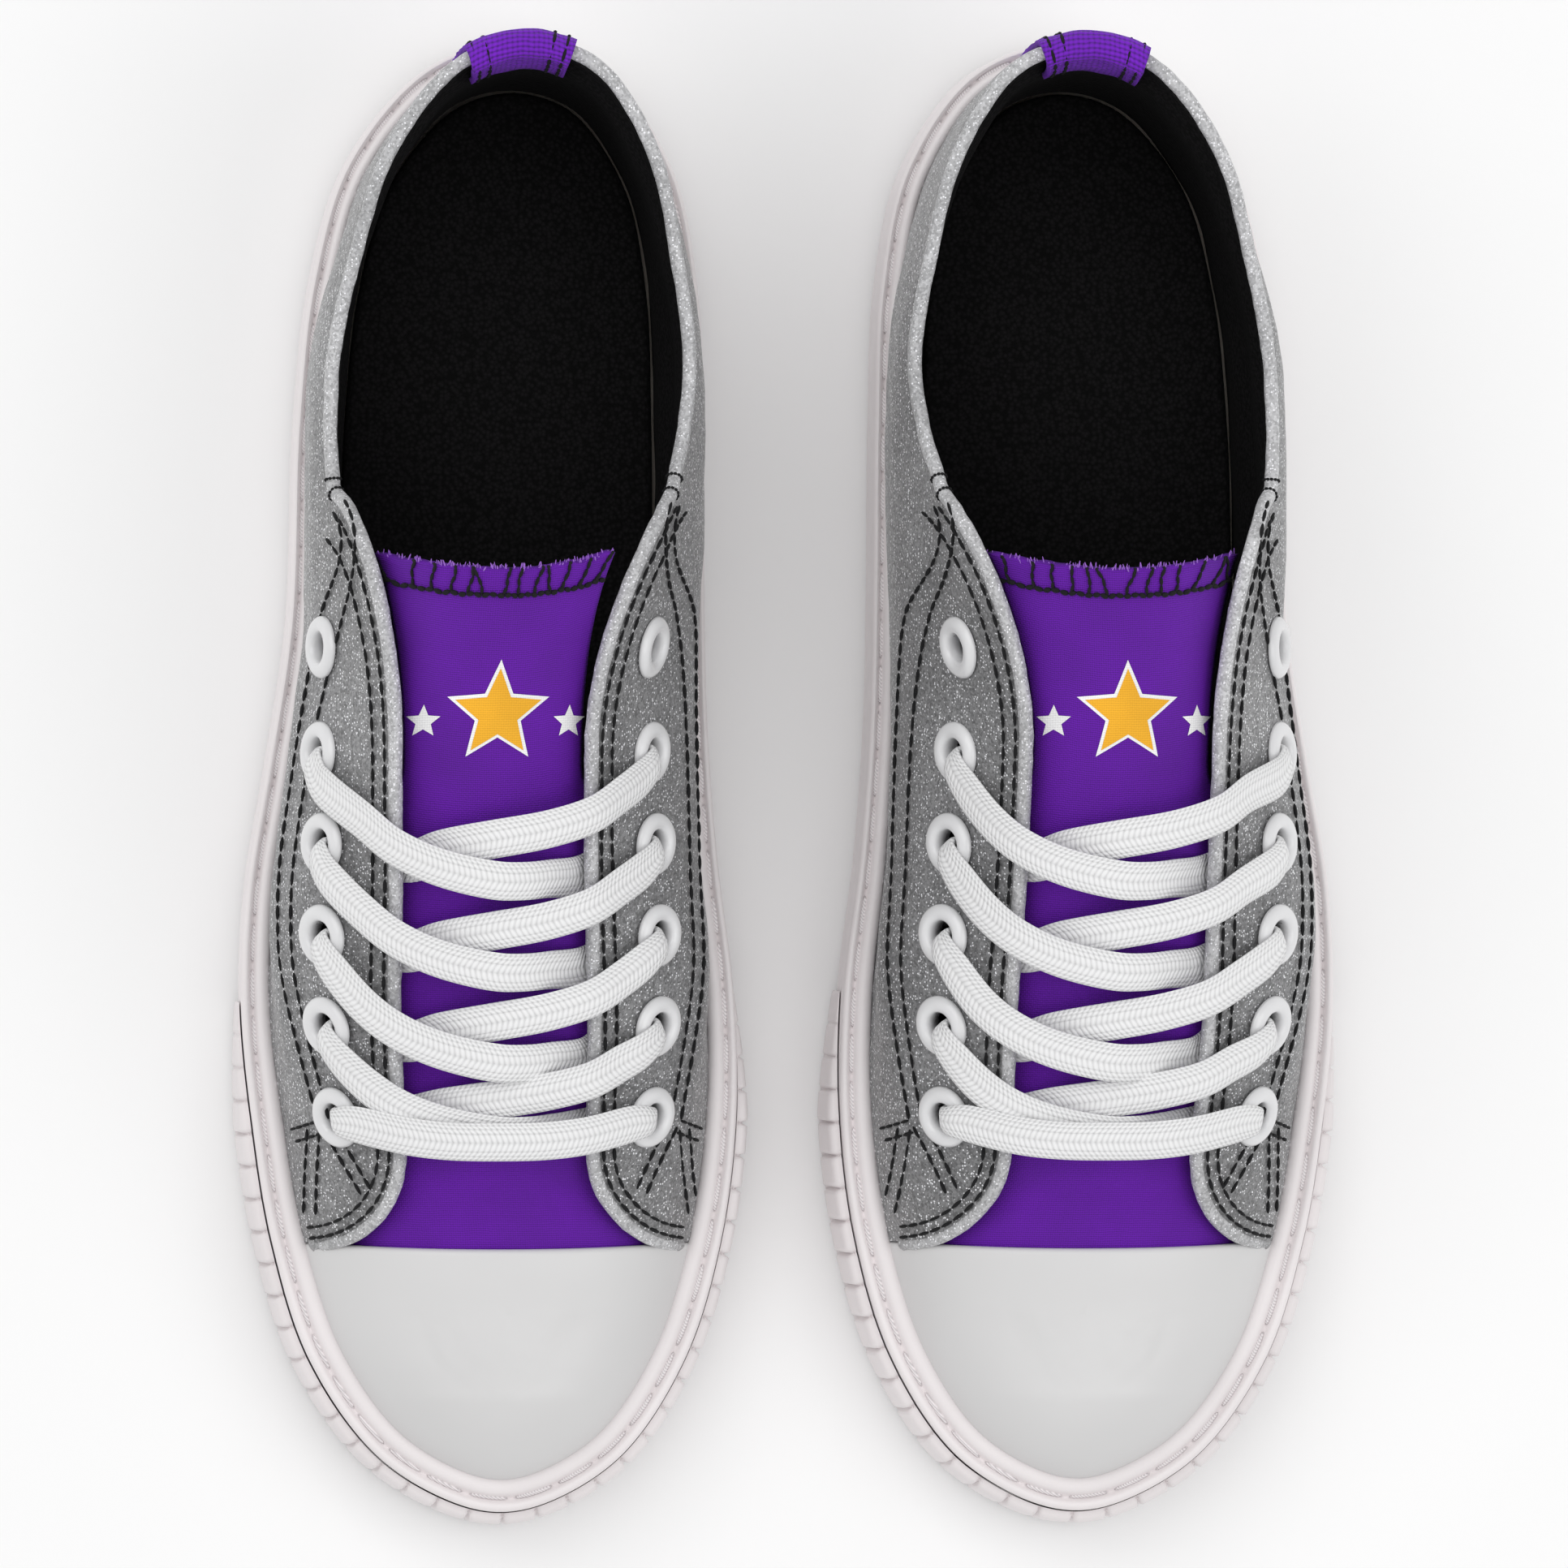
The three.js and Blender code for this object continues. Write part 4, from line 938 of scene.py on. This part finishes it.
def edgeBinding():
    rows, frames, stops = bindingRings()
    bm = shellGrid(rows)
    bmesh.ops.holes_fill(bm, edges=[e for e in bm.edges if e.is_boundary])
    bmesh.ops.recalc_face_normals(bm, faces=bm.faces)
    ripple(bm, 0.16, 2.6, 11)
    make("EdgeBinding", bm, glitterBinding, ["edge_binding"])
    # two wraps of black thread where the collar's binding meets each facing's
    bm = bmesh.new()
    for side in (outer, inner):
        for offset in (-1.3, 1.1):
            i = min(range(len(stops)), key=lambda k: abs(middleY(frames, k) - shoe["corner"] - 1 - offset)
                    + (0 if stops[k][0] == side and not stops[k][1][0] else 1e3))
            _, _, away, across, middle = frames[i]
            last = None
            for k in range(13):
                a = 2 * math.pi * k / 12
                p = (middle + away * (binding["wide"] / 2 + 0.15) * math.cos(a)
                     + across * (binding["thick"] / 2 + 0.15) * math.sin(a))
                if last is not None:
                    stitch(bm, last, p, (p - middle).normalized(), 0.6, 0.4)
                last = p
    make("BindingWraps", bm, blackThread)


def middleY(frames, k):
    return frames[k][0].y


toeCap()
vamp()
quarters()
linings()
edgeBinding()
eyelets()
print("uppers made")

# ---- stitching on the quarters ----
sewing = {
    "pitch": 3.1, "share": 0.93, "thick": 0.72, "between": 2.0, "first": 0.9,
    "panelRun": 22, "panelOut": 1.4, "lie": 0.25,
}
panelInset = [(-66, 7.6), (-45, 6.4), (-30, 5.2), (-5, 3.6), (17, 3.0), (40, 3.2), (51, 3.6)]


def onLine(points2d, side):
    spots = [onUpper(side * x, y, sewing["lie"]) for x, y in points2d]
    normals = [lastNormal(side, at(y), thetaAtX(side, at(y), x)) for x, y in points2d]
    return spots, normals


def offsetLine(line, distance):
    # the same line in plan, moved sideways
    moved = []
    for i, (x, y) in enumerate(line):
        a, b = Vector(line[max(i - 1, 0)]), Vector(line[min(i + 1, len(line) - 1)])
        t = (b - a).normalized()
        moved.append((x + t.y * distance, y - t.x * distance))
    return moved


def fillIn(corners, step=1.0):
    line = []
    for (x0, y0), (x1, y1) in zip(corners, corners[1:]):
        count = max(1, round(math.hypot(x1 - x0, y1 - y0) / step))
        line += [(lerp(x0, x1, k / count), lerp(y0, y1, k / count)) for k in range(count)]
    return line + [corners[-1]]


def quarterStitches():
    bm = bmesh.new()
    for side in (outer, inner):
        lines = []

        def featherX(y):
            m = meridian(side, at(y))
            return m["reach"]

        edge = []
        for k in range(1, 18):
            y = shoe["throat"] - facing["setback"] * math.cos(math.radians(5 * k))
            edge.append((edgeOut(y), y))
        edge += [(edgeOut(y), y) for y in np.arange(shoe["throat"] + 0.5, shoe["corner"] - 1, 1.0)]
        lines += [offsetLine(edge, sewing["first"]), offsetLine(edge, sewing["first"] + sewing["between"])]
        panel = []
        for y in np.arange(-63, shoe["corner"] - 1.5, 1.5):
            leave = 1 - (1 - clamp((shoe["corner"] - y) / sewing["panelRun"])) ** 2
            start = edgeOut(y) + sewing["panelOut"]
            panel.append((lerp(start, featherX(y) - along(panelInset, y), leave), y))
        lines += [panel, offsetLine(panel, -sewing["between"])]
        foot = panel[0]
        low = fillIn([foot, (featherX(-65) - 0.6, -65.5)])
        lines += [low, offsetLine(low, 2.3)]
        front = fillIn([(foot[0] - 0.6, foot[1] - 1.0), (foot[0] - 7.0, -76.5)])
        back = fillIn([(foot[0] - 0.2, foot[1] - 1.5), (foot[0] + 1.2, -80.5)])
        lines += [front, offsetLine(front, sewing["between"]), back, offsetLine(back, -sewing["between"])]
        for line in lines:
            kept = [(x, y) for x, y in line if x < meridian(side, at(y))["reach"] - 2.2]
            if len(kept) > 2:
                spots, normals = onLine(kept, side)
                stitchRun(bm, spots, normals, sewing["pitch"], sewing["share"], sewing["thick"])
    make("QuarterStitches", bm, blackThread)


quarterStitches()

# ---- heel strip: woven tape up the back, over the rim and down inside ----
strip = {"half": 11, "foot": 25, "top": 74.6, "inside": 60, "rows": (-9.6, -6.9, 6.7, 9.4)}


def stripPath():
    # (depth, height) round the rim, from outside to inside
    path = [(-1.5, z) for z in np.arange(strip["foot"], strip["top"] - 2, 1.2)]
    for a in np.linspace(0, math.pi, 15):
        path.append((1.3 - 2.8 * math.cos(a), strip["top"] - 2 + 2.9 * math.sin(a)))
    for z in np.arange(strip["top"] - 3, strip["inside"], -1.2):
        path.append((4.1 + 1.0 * smooth(strip["top"], strip["top"] - 9, z), z))
    return path


def stripSpot(across, depth, z):
    turn = math.degrees(across / 31.8)
    side = outer if turn < 0 else inner
    station = ("heel", shoe["heelCentre"], 90 - abs(turn))
    return wallPoint(side, station, min(z, 74), depth) + Vector((0, 0, max(z - 74, 0)))


def heelStrip():
    path = stripPath()
    places = [lerp(-strip["half"], strip["half"], k / 26) for k in range(27)]
    rows = [[stripSpot(across, d, z) for across in places] for d, z in path]
    bm = shellGrid(rows)
    faceOut(bm, (0, 200, 50))
    ripple(bm, 0.25, 4, 13)
    thicken(bm, 1.1)
    make("HeelStrip", bm, purpleTape, ["heel_strip"])
    bm = bmesh.new()
    for across in strip["rows"]:
        spots = [stripSpot(across, d, z) for d, z in path[1:-1]]
        nearby = [stripSpot(across + 0.6, d, z) for d, z in path[1:-1]]
        normals = []
        for k in range(len(spots)):
            t = spots[min(k + 1, len(spots) - 1)] - spots[max(k - 1, 0)]
            n = t.cross(nearby[k] - spots[k]).normalized()
            normals.append(n)
        flip = -1 if normals[3].y < 0 else 1
        stitchRun(bm, spots, [n * flip for n in normals], 3.2, 0.9, 0.75, 0.45)
    make("HeelStripStitches", bm, blackThread)


heelStrip()

# ---- tongue ----
tongue = {
    "start": -71, "top": 40.0, "hollow": 2.6, "depth": 4.9, "thick": 1.9, "flick": 2.2, "base": 22.5,
    # distance of each edge from the middle at the tongue's top
    "topHalf": {"right": (23.4, 19.8), "left": (23.4, 23.6)}, "band": 4.6, "wraps": 13,
}


def tongueHalf(name, side, y):
    # half-width: under the facings low down, just inside the two bindings higher up
    sideIndex = 0 if side == outer else 1
    free = edgeOut(y) - binding["wide"] + binding["over"] - 0.5
    narrow = lerp(1, tongue["topHalf"][name][sideIndex] / 23.4, smooth(5, 38, y))
    return lerp(tongue["base"], free * narrow, smooth(-14, 2, y))


def tongueSpot(name, across, y, lift=0.0):
    # across runs from -1 at the outer edge to 1 at the inner edge
    side = outer if across < 0 else inner
    half = tongueHalf(name, side, y)
    x = abs(across) * half
    depth = tongue["depth"] + 0.5 * smooth(-66, -71, y) - lift
    station = at(y)
    p = lastPoint(side, station, thetaAtX(side, station, x, depth), depth)
    flick = smooth(20, tongue["top"], y) * abs(across) ** 6
    p += Vector((0, 0.3, 1)) * tongue["flick"] * flick
    p.z += 0.5 * noise.noise(Vector((p.x / 13, p.y / 17, 3.3))) * smooth(2, 20, y)
    return p


def tongueTopAt(across):
    ragged = 0.35 * noise.noise(Vector((across * 9, 0, 1)))
    return tongue["top"] - tongue["hollow"] * (1 - across**2) + ragged


def blended(name, part):
    piece = pieces[name + part]
    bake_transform(piece)


def tongues():
    for name in ("right", "left"):
        mirror = 1 if name == "right" else -1
        rows = []
        for i in range(91):
            row = []
            for j in range(49):
                across = 2 * j / 48 - 1
                y = lerp(tongue["start"], tongueTopAt(across), i / 90)
                row.append(tongueSpot(name, across, y))
            rows.append(row)
        bm = shellGrid(rows)
        faceOut(bm, (0, 0, 300))
        thicken(bm, tongue["thick"])
        make("Tongue", bm, purpleCanvas, ["tongue_base", "tongue_top"], only=name,
             body="blend")
        blended(name, "Tongue")
        # overlocked band along the top: a line of thread and slanting stitches over the edge
        bm = bmesh.new()
        up = Vector((0, -0.35, 0.94))

        def band(across, below, lift=0.15):
            return tongueSpot(name, clamp(across, -1, 1), tongueTopAt(clamp(across, -1, 1)) - below, lift)

        base = [band(lerp(-1, 1, k / 60), tongue["band"] + 0.3 * math.sin(k * 1.9)) for k in range(61)]
        for k in range(0, 60, 2):
            stitch(bm, base[k], base[k + 2], up, 1.0, 0.3)
        random.seed(31 if name == "right" else 57)
        for k in range(tongue["wraps"]):
            foot = lerp(-0.94, 0.9, k / (tongue["wraps"] - 1)) + random.uniform(-0.02, 0.02)
            head = foot + random.choice((-0.07, 0.05, 0.085, 0.02)) * mirror
            run = [band(lerp(foot, head, t / 3) + 0.012 * math.sin(t * 2.1 + k),
                        tongue["band"] * (1 - t / 3)) for t in range(4)]
            run.append(band(head, -0.3, -0.9))
            for a, b in zip(run, run[1:]):
                stitch(bm, a, b + (b - a) * 0.08, up, 0.72, 0.3)
        make("TongueOverlock", bm, blackThread, only=name, body="blend")
        blended(name, "TongueOverlock")
        # loose ends of the cloth's own threads
        bm = bmesh.new()
        for k in range(130):
            across = random.uniform(-1, 1)
            root = tongueSpot(name, across, tongueTopAt(across) - 0.5, -random.uniform(0.1, 1.6))
            tip = root + Vector((random.uniform(-0.7, 0.7), random.uniform(0.8, 1.9),
                                 random.uniform(-0.1, 1.0)))
            stitch(bm, root, tip, up, random.uniform(0.2, 0.36), 0.5)
        make("TongueFray", bm, purpleFray, only=name, body="blend")
        blended(name, "TongueFray")


emblem = {"middle": (0.4, 11.5), "star": 8.2, "outline": 1.5, "side": 3.1, "sideAt": 13.2, "inner": 0.45}


def starPatch(name, centre, radius, lift, turn=0.0):
    # a flat five-pointed star laid on the tongue
    bm = bmesh.new()
    rim = bmesh.ops.create_circle(bm, cap_ends=True, segments=10, radius=radius)["verts"]
    for k, v in enumerate(sorted(rim, key=lambda v: math.atan2(v.co.y, v.co.x))):
        r = radius if k % 2 == 0 else radius * emblem["inner"]
        a = k * math.pi / 5 + math.pi / 2 + turn
        v.co = (r * math.cos(a), r * math.sin(a), 0)
    bmesh.ops.triangulate(bm, faces=bm.faces)
    for _ in range(3):
        bmesh.ops.subdivide_edges(bm, edges=bm.edges, cuts=1, use_grid_fill=True)
    bmesh.ops.triangulate(bm, faces=bm.faces)
    uv = bm.loops.layers.uv.new("UVMap")
    mirror = 1 if name == "right" else -1
    for f in bm.faces:
        for loop in f.loops:
            loop[uv].uv = (loop.vert.co.y / 1000, loop.vert.co.x / 1000)
    for v in bm.verts:
        x, y = (centre[0] + v.co.x) * mirror, centre[1] + v.co.y
        side = outer if x < 0 else inner
        v.co = tongueSpot(name, x / tongueHalf(name, side, y), y, lift)
    faceOut(bm, (0, 0, 400))
    return bm


def emblems():
    for name in ("right", "left"):
        middle, y = emblem["middle"]
        small, aside = emblem["side"], emblem["sideAt"]
        white = (0.1, whitePrint, "white_lace")
        shapes = [("EmblemOutline", (middle, y), emblem["star"] + emblem["outline"], *white),
                  ("EmblemStar", (middle, y - 0.1), emblem["star"], 0.18, goldPrint, "purple_canvas"),
                  ("EmblemStarOuter", (middle - aside, y - 1.5), small, *white),
                  ("EmblemStarInner", (middle + aside, y - 1.5), small, *white)]
        for part, centre, radius, lift, material, slotName in shapes:
            make(part, starPatch(name, centre, radius, lift), material, only=name, body="blend")
            blended(name, part)


tongues()
emblems()
print("tongues made")

# ---- laces ----
laceSize = {"width": 7.5, "thick": 1.35, "holeWidth": 4.0, "holeThick": 1.6, "points": 14, "between": 8}
upperStrand = [(-18, 23, -3.7), (-10, 23.3, -1.2), (-5, 23.1, 0.6), (0, 22.6, 1.7), (9.5, 20.2, 1.9),
               (16.5, 16.6, 2.4), (21.5, 12.2, 2.4)]
lowerStrand = [(-18, 20.8, -3.7), (-10, 18.2, -2), (-5, 16.8, -0.8), (0, 15.6, 0.1), (9.5, 13.4, 1.2),
               (16.5, 10.6, 2.4), (21.5, 7.2, 2.4)]
barStops = [(-15, 2.3, 3.2), (-8, 3, 3.4), (0, 3.2, 3.4), (8, 3, 3.4), (15, 2.3, 3.2)]
lowestPull = 0.86
lowestSink = 0.5


def throughEyelet(side, row, slope, tucked):
    station, theta, centre, normal = eyeletSpot(side, row)

    def heading(fall):
        way = lastPoint(side, station, theta + 0.05) - centre
        way.y -= way.length * fall
        return (way - normal * way.dot(normal)).normalized()

    arriving, leaving = heading(slope), heading(-0.6 if tucked else 0.3)
    over = [(6.6, 2.3, 0.1), (2.3, 2.4, 0.6), (0.5, 1.3, 1), (0, -0.8, 1)]
    back = [(0.6, -2.6, 1), (2.6, -3.7, 0.5), (5.6, -3.7, 0)]
    if tucked:
        back = [(-0.6, -2.8, 1), (-3.5, -4.2, 0.5), (-9, -5.4, 0.3)]
    under = normal if tucked else -normal
    facings = [normal, normal, normal - arriving, -arriving, under - leaving, under, under]
    stops = []
    for i, (out, height, gathered) in enumerate(over + back):
        way = arriving if i < len(over) else leaving
        stops.append((centre + way * out + normal * height, facings[i].normalized(), gathered))
    return stops


def laceStops(overSide):
    def strand(side, row):
        table = upperStrand if side == overSide else lowerStrand
        stops = []
        lowest = row == 4
        for x, fall, height in table:
            y = shoe["rows"][row] - fall * (lowestPull if lowest else 1)
            height -= lowestSink if lowest else 0
            stops.append((onUpper(side * x, y, height), ridgeNormal(side * x, y), 0))
        return stops

    def half(side):
        stops = []
        here = side
        for row in range(5, 0, -1):
            slope = 0.1 if row == 5 else (1.5 if here == overSide else 0.8)
            stops += throughEyelet(here, row, slope, row == 1)
            if row > 1:
                stops += strand(-here, row - 1)
            here = -here
        return stops

    bar = []
    for x, fall, height in barStops:
        y = shoe["rows"][5] - fall
        bar.append((onUpper(x, y, height), ridgeNormal(x, y), 0))
    return half(outer)[::-1] + bar + half(inner)


def curveThrough(values, count):
    # a smooth line through the stops, in even steps between each two
    fine = []
    last = len(values) - 1
    for i in range(last):
        p = [values[max(i - 1, 0)], values[i], values[i + 1], values[min(i + 2, last)]]
        d = [max(np.linalg.norm(p[k + 1][:3] - p[k][:3]), 1e-3) ** 0.5 for k in range(3)]
        for k in range(count):
            w = k / count
            step = p[2] - p[1]
            a, b = step, step
            if i:
                a = ((p[1] - p[0]) / d[0] - (p[2] - p[0]) / (d[0] + d[1]) + step / d[1]) * d[1]
            if i < last - 1:
                b = (step / d[1] - (p[3] - p[1]) / (d[1] + d[2]) + (p[3] - p[2]) / d[2]) * d[1]
            c2 = -3 * p[1] + 3 * p[2] - 2 * a - b
            c3 = 2 * p[1] - 2 * p[2] + a + b
            fine.append(p[1] + a * w + c2 * w**2 + c3 * w**3)
    return fine + [values[-1]]


def lace(name):
    stops = laceStops(outer if name == "right" else inner)
    values = [np.array([*p, *f, g]) for p, f, g in stops]
    fine = curveThrough(values, laceSize["between"])
    points = [Vector(v[:3]) for v in fine]
    rows = []
    for i, v in enumerate(fine):
        tangent = (points[min(i + 1, len(points) - 1)] - points[max(i - 1, 0)]).normalized()
        up = Vector(v[3:6])
        up = (up - tangent * up.dot(tangent)).normalized()
        side = tangent.cross(up)
        gathered = clamp(v[6])
        w = lerp(laceSize["width"], laceSize["holeWidth"], gathered) / 2
        t = lerp(laceSize["thick"], laceSize["holeThick"], gathered) / 2
        ring = []
        for k in range(laceSize["points"] + 1):
            a = 2 * math.pi * k / laceSize["points"]
            c, s = math.cos(a), math.sin(a)
            ring.append(points[i] + side * w * math.copysign(abs(c) ** 0.6, c)
                        + up * t * math.copysign(abs(s) ** 0.55, s))
        rows.append(ring)
    bm = shellGrid(rows)
    uv = bm.loops.layers.uv.active
    # the map across the tape is measured from its middle, the same on both faces
    lengths = np.concatenate([[0], np.cumsum([(b - a).length for a, b in zip(points, points[1:])])])
    tree = {}
    for i, ring in enumerate(rows):
        for k, p in enumerate(ring):
            a = 2 * math.pi * k / laceSize["points"]
            away = laceSize["width"] / 2 * math.cos(a) / 1000
            tree[tuple(round(c, 4) for c in p)] = (lengths[i] / 1000, away)
    for f in bm.faces:
        for loop in f.loops:
            key = tuple(round(c, 4) for c in loop.vert.co)
            if key in tree:
                loop[uv].uv = tree[key]
    bmesh.ops.holes_fill(bm, edges=[e for e in bm.edges if e.is_boundary])
    bmesh.ops.recalc_face_normals(bm, faces=bm.faces)
    make("Lace", bm, laceWhite, ["lace"], only=name)
    print(name, "lace", round(lengths[-1]), "mm long")


lace("right")
lace("left")
print("laces made")

# ---- hidden pieces keep their own shapes ----
for name in ("right", "left"):
    for node, material in (("midsole", foam), ("insole_board", board), ("heel_counter", board)):
        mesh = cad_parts[f"{name}_{node}"].data
        mesh.materials.clear()
        mesh.materials.append(material)

# ---- setting ----
setting = {"tilt": 4.0, "frameWidth": 0.2905, "lens": 400, "look": (0, 0, 0.010), "floor": (0.96, 0.96, 0.96)}


def stage():
    bm = bmesh.new()
    bmesh.ops.create_grid(bm, x_segments=1, y_segments=1, size=4)
    bmesh.ops.translate(bm, vec=(0, 0, -0.0004), verts=bm.verts)
    mesh = bpy.data.meshes.new("floor")
    bm.to_mesh(mesh)
    bm.free()
    floorPaint, _, _ = newMaterial("floorPaint", setting["floor"], 0.9)
    mesh.materials.append(floorPaint)
    floor = bpy.data.objects.new("floor", mesh)
    bpy.context.scene.collection.objects.link(floor)
    world = bpy.data.worlds.new("studio")
    world.use_nodes = True
    world.node_tree.nodes["Background"].inputs["Color"].default_value = (1, 1, 1, 1)
    world.node_tree.nodes["Background"].inputs["Strength"].default_value = 0.7
    bpy.context.scene.world = world
    for place, size, power in (((-0.5, 0.5, 1.3), 1.2, 6), ((0.7, -0.2, 1.2), 1.0, 3.6)):
        light = bpy.data.lights.new("softbox", "AREA")
        light.size = size
        light.energy = power
        lamp = bpy.data.objects.new("softbox", light)
        lamp.location = place
        lamp.rotation_euler = (-Vector(place)).to_track_quat("-Z", "Y").to_euler()
        bpy.context.scene.collection.objects.link(lamp)
    camera = bpy.data.cameras.new("camera")
    camera.lens = setting["lens"]
    camera.sensor_width = 36
    camera.clip_end = 50
    distance = setting["frameWidth"] * setting["lens"] / 36
    tilt = math.radians(setting["tilt"])
    eye = bpy.data.objects.new("camera", camera)
    z = Vector((-math.sin(tilt), 0, math.cos(tilt)))
    x = Vector((0, 1, 0)).cross(z).normalized()
    turn = Matrix((x, z.cross(x), z)).transposed().to_4x4()
    eye.matrix_world = Matrix.Translation(Vector(setting["look"]) + z * distance) @ turn
    bpy.context.scene.collection.objects.link(eye)
    bpy.context.scene.camera = eye
    bpy.context.scene.view_settings.view_transform = "Standard"


stage()
print("stage set")
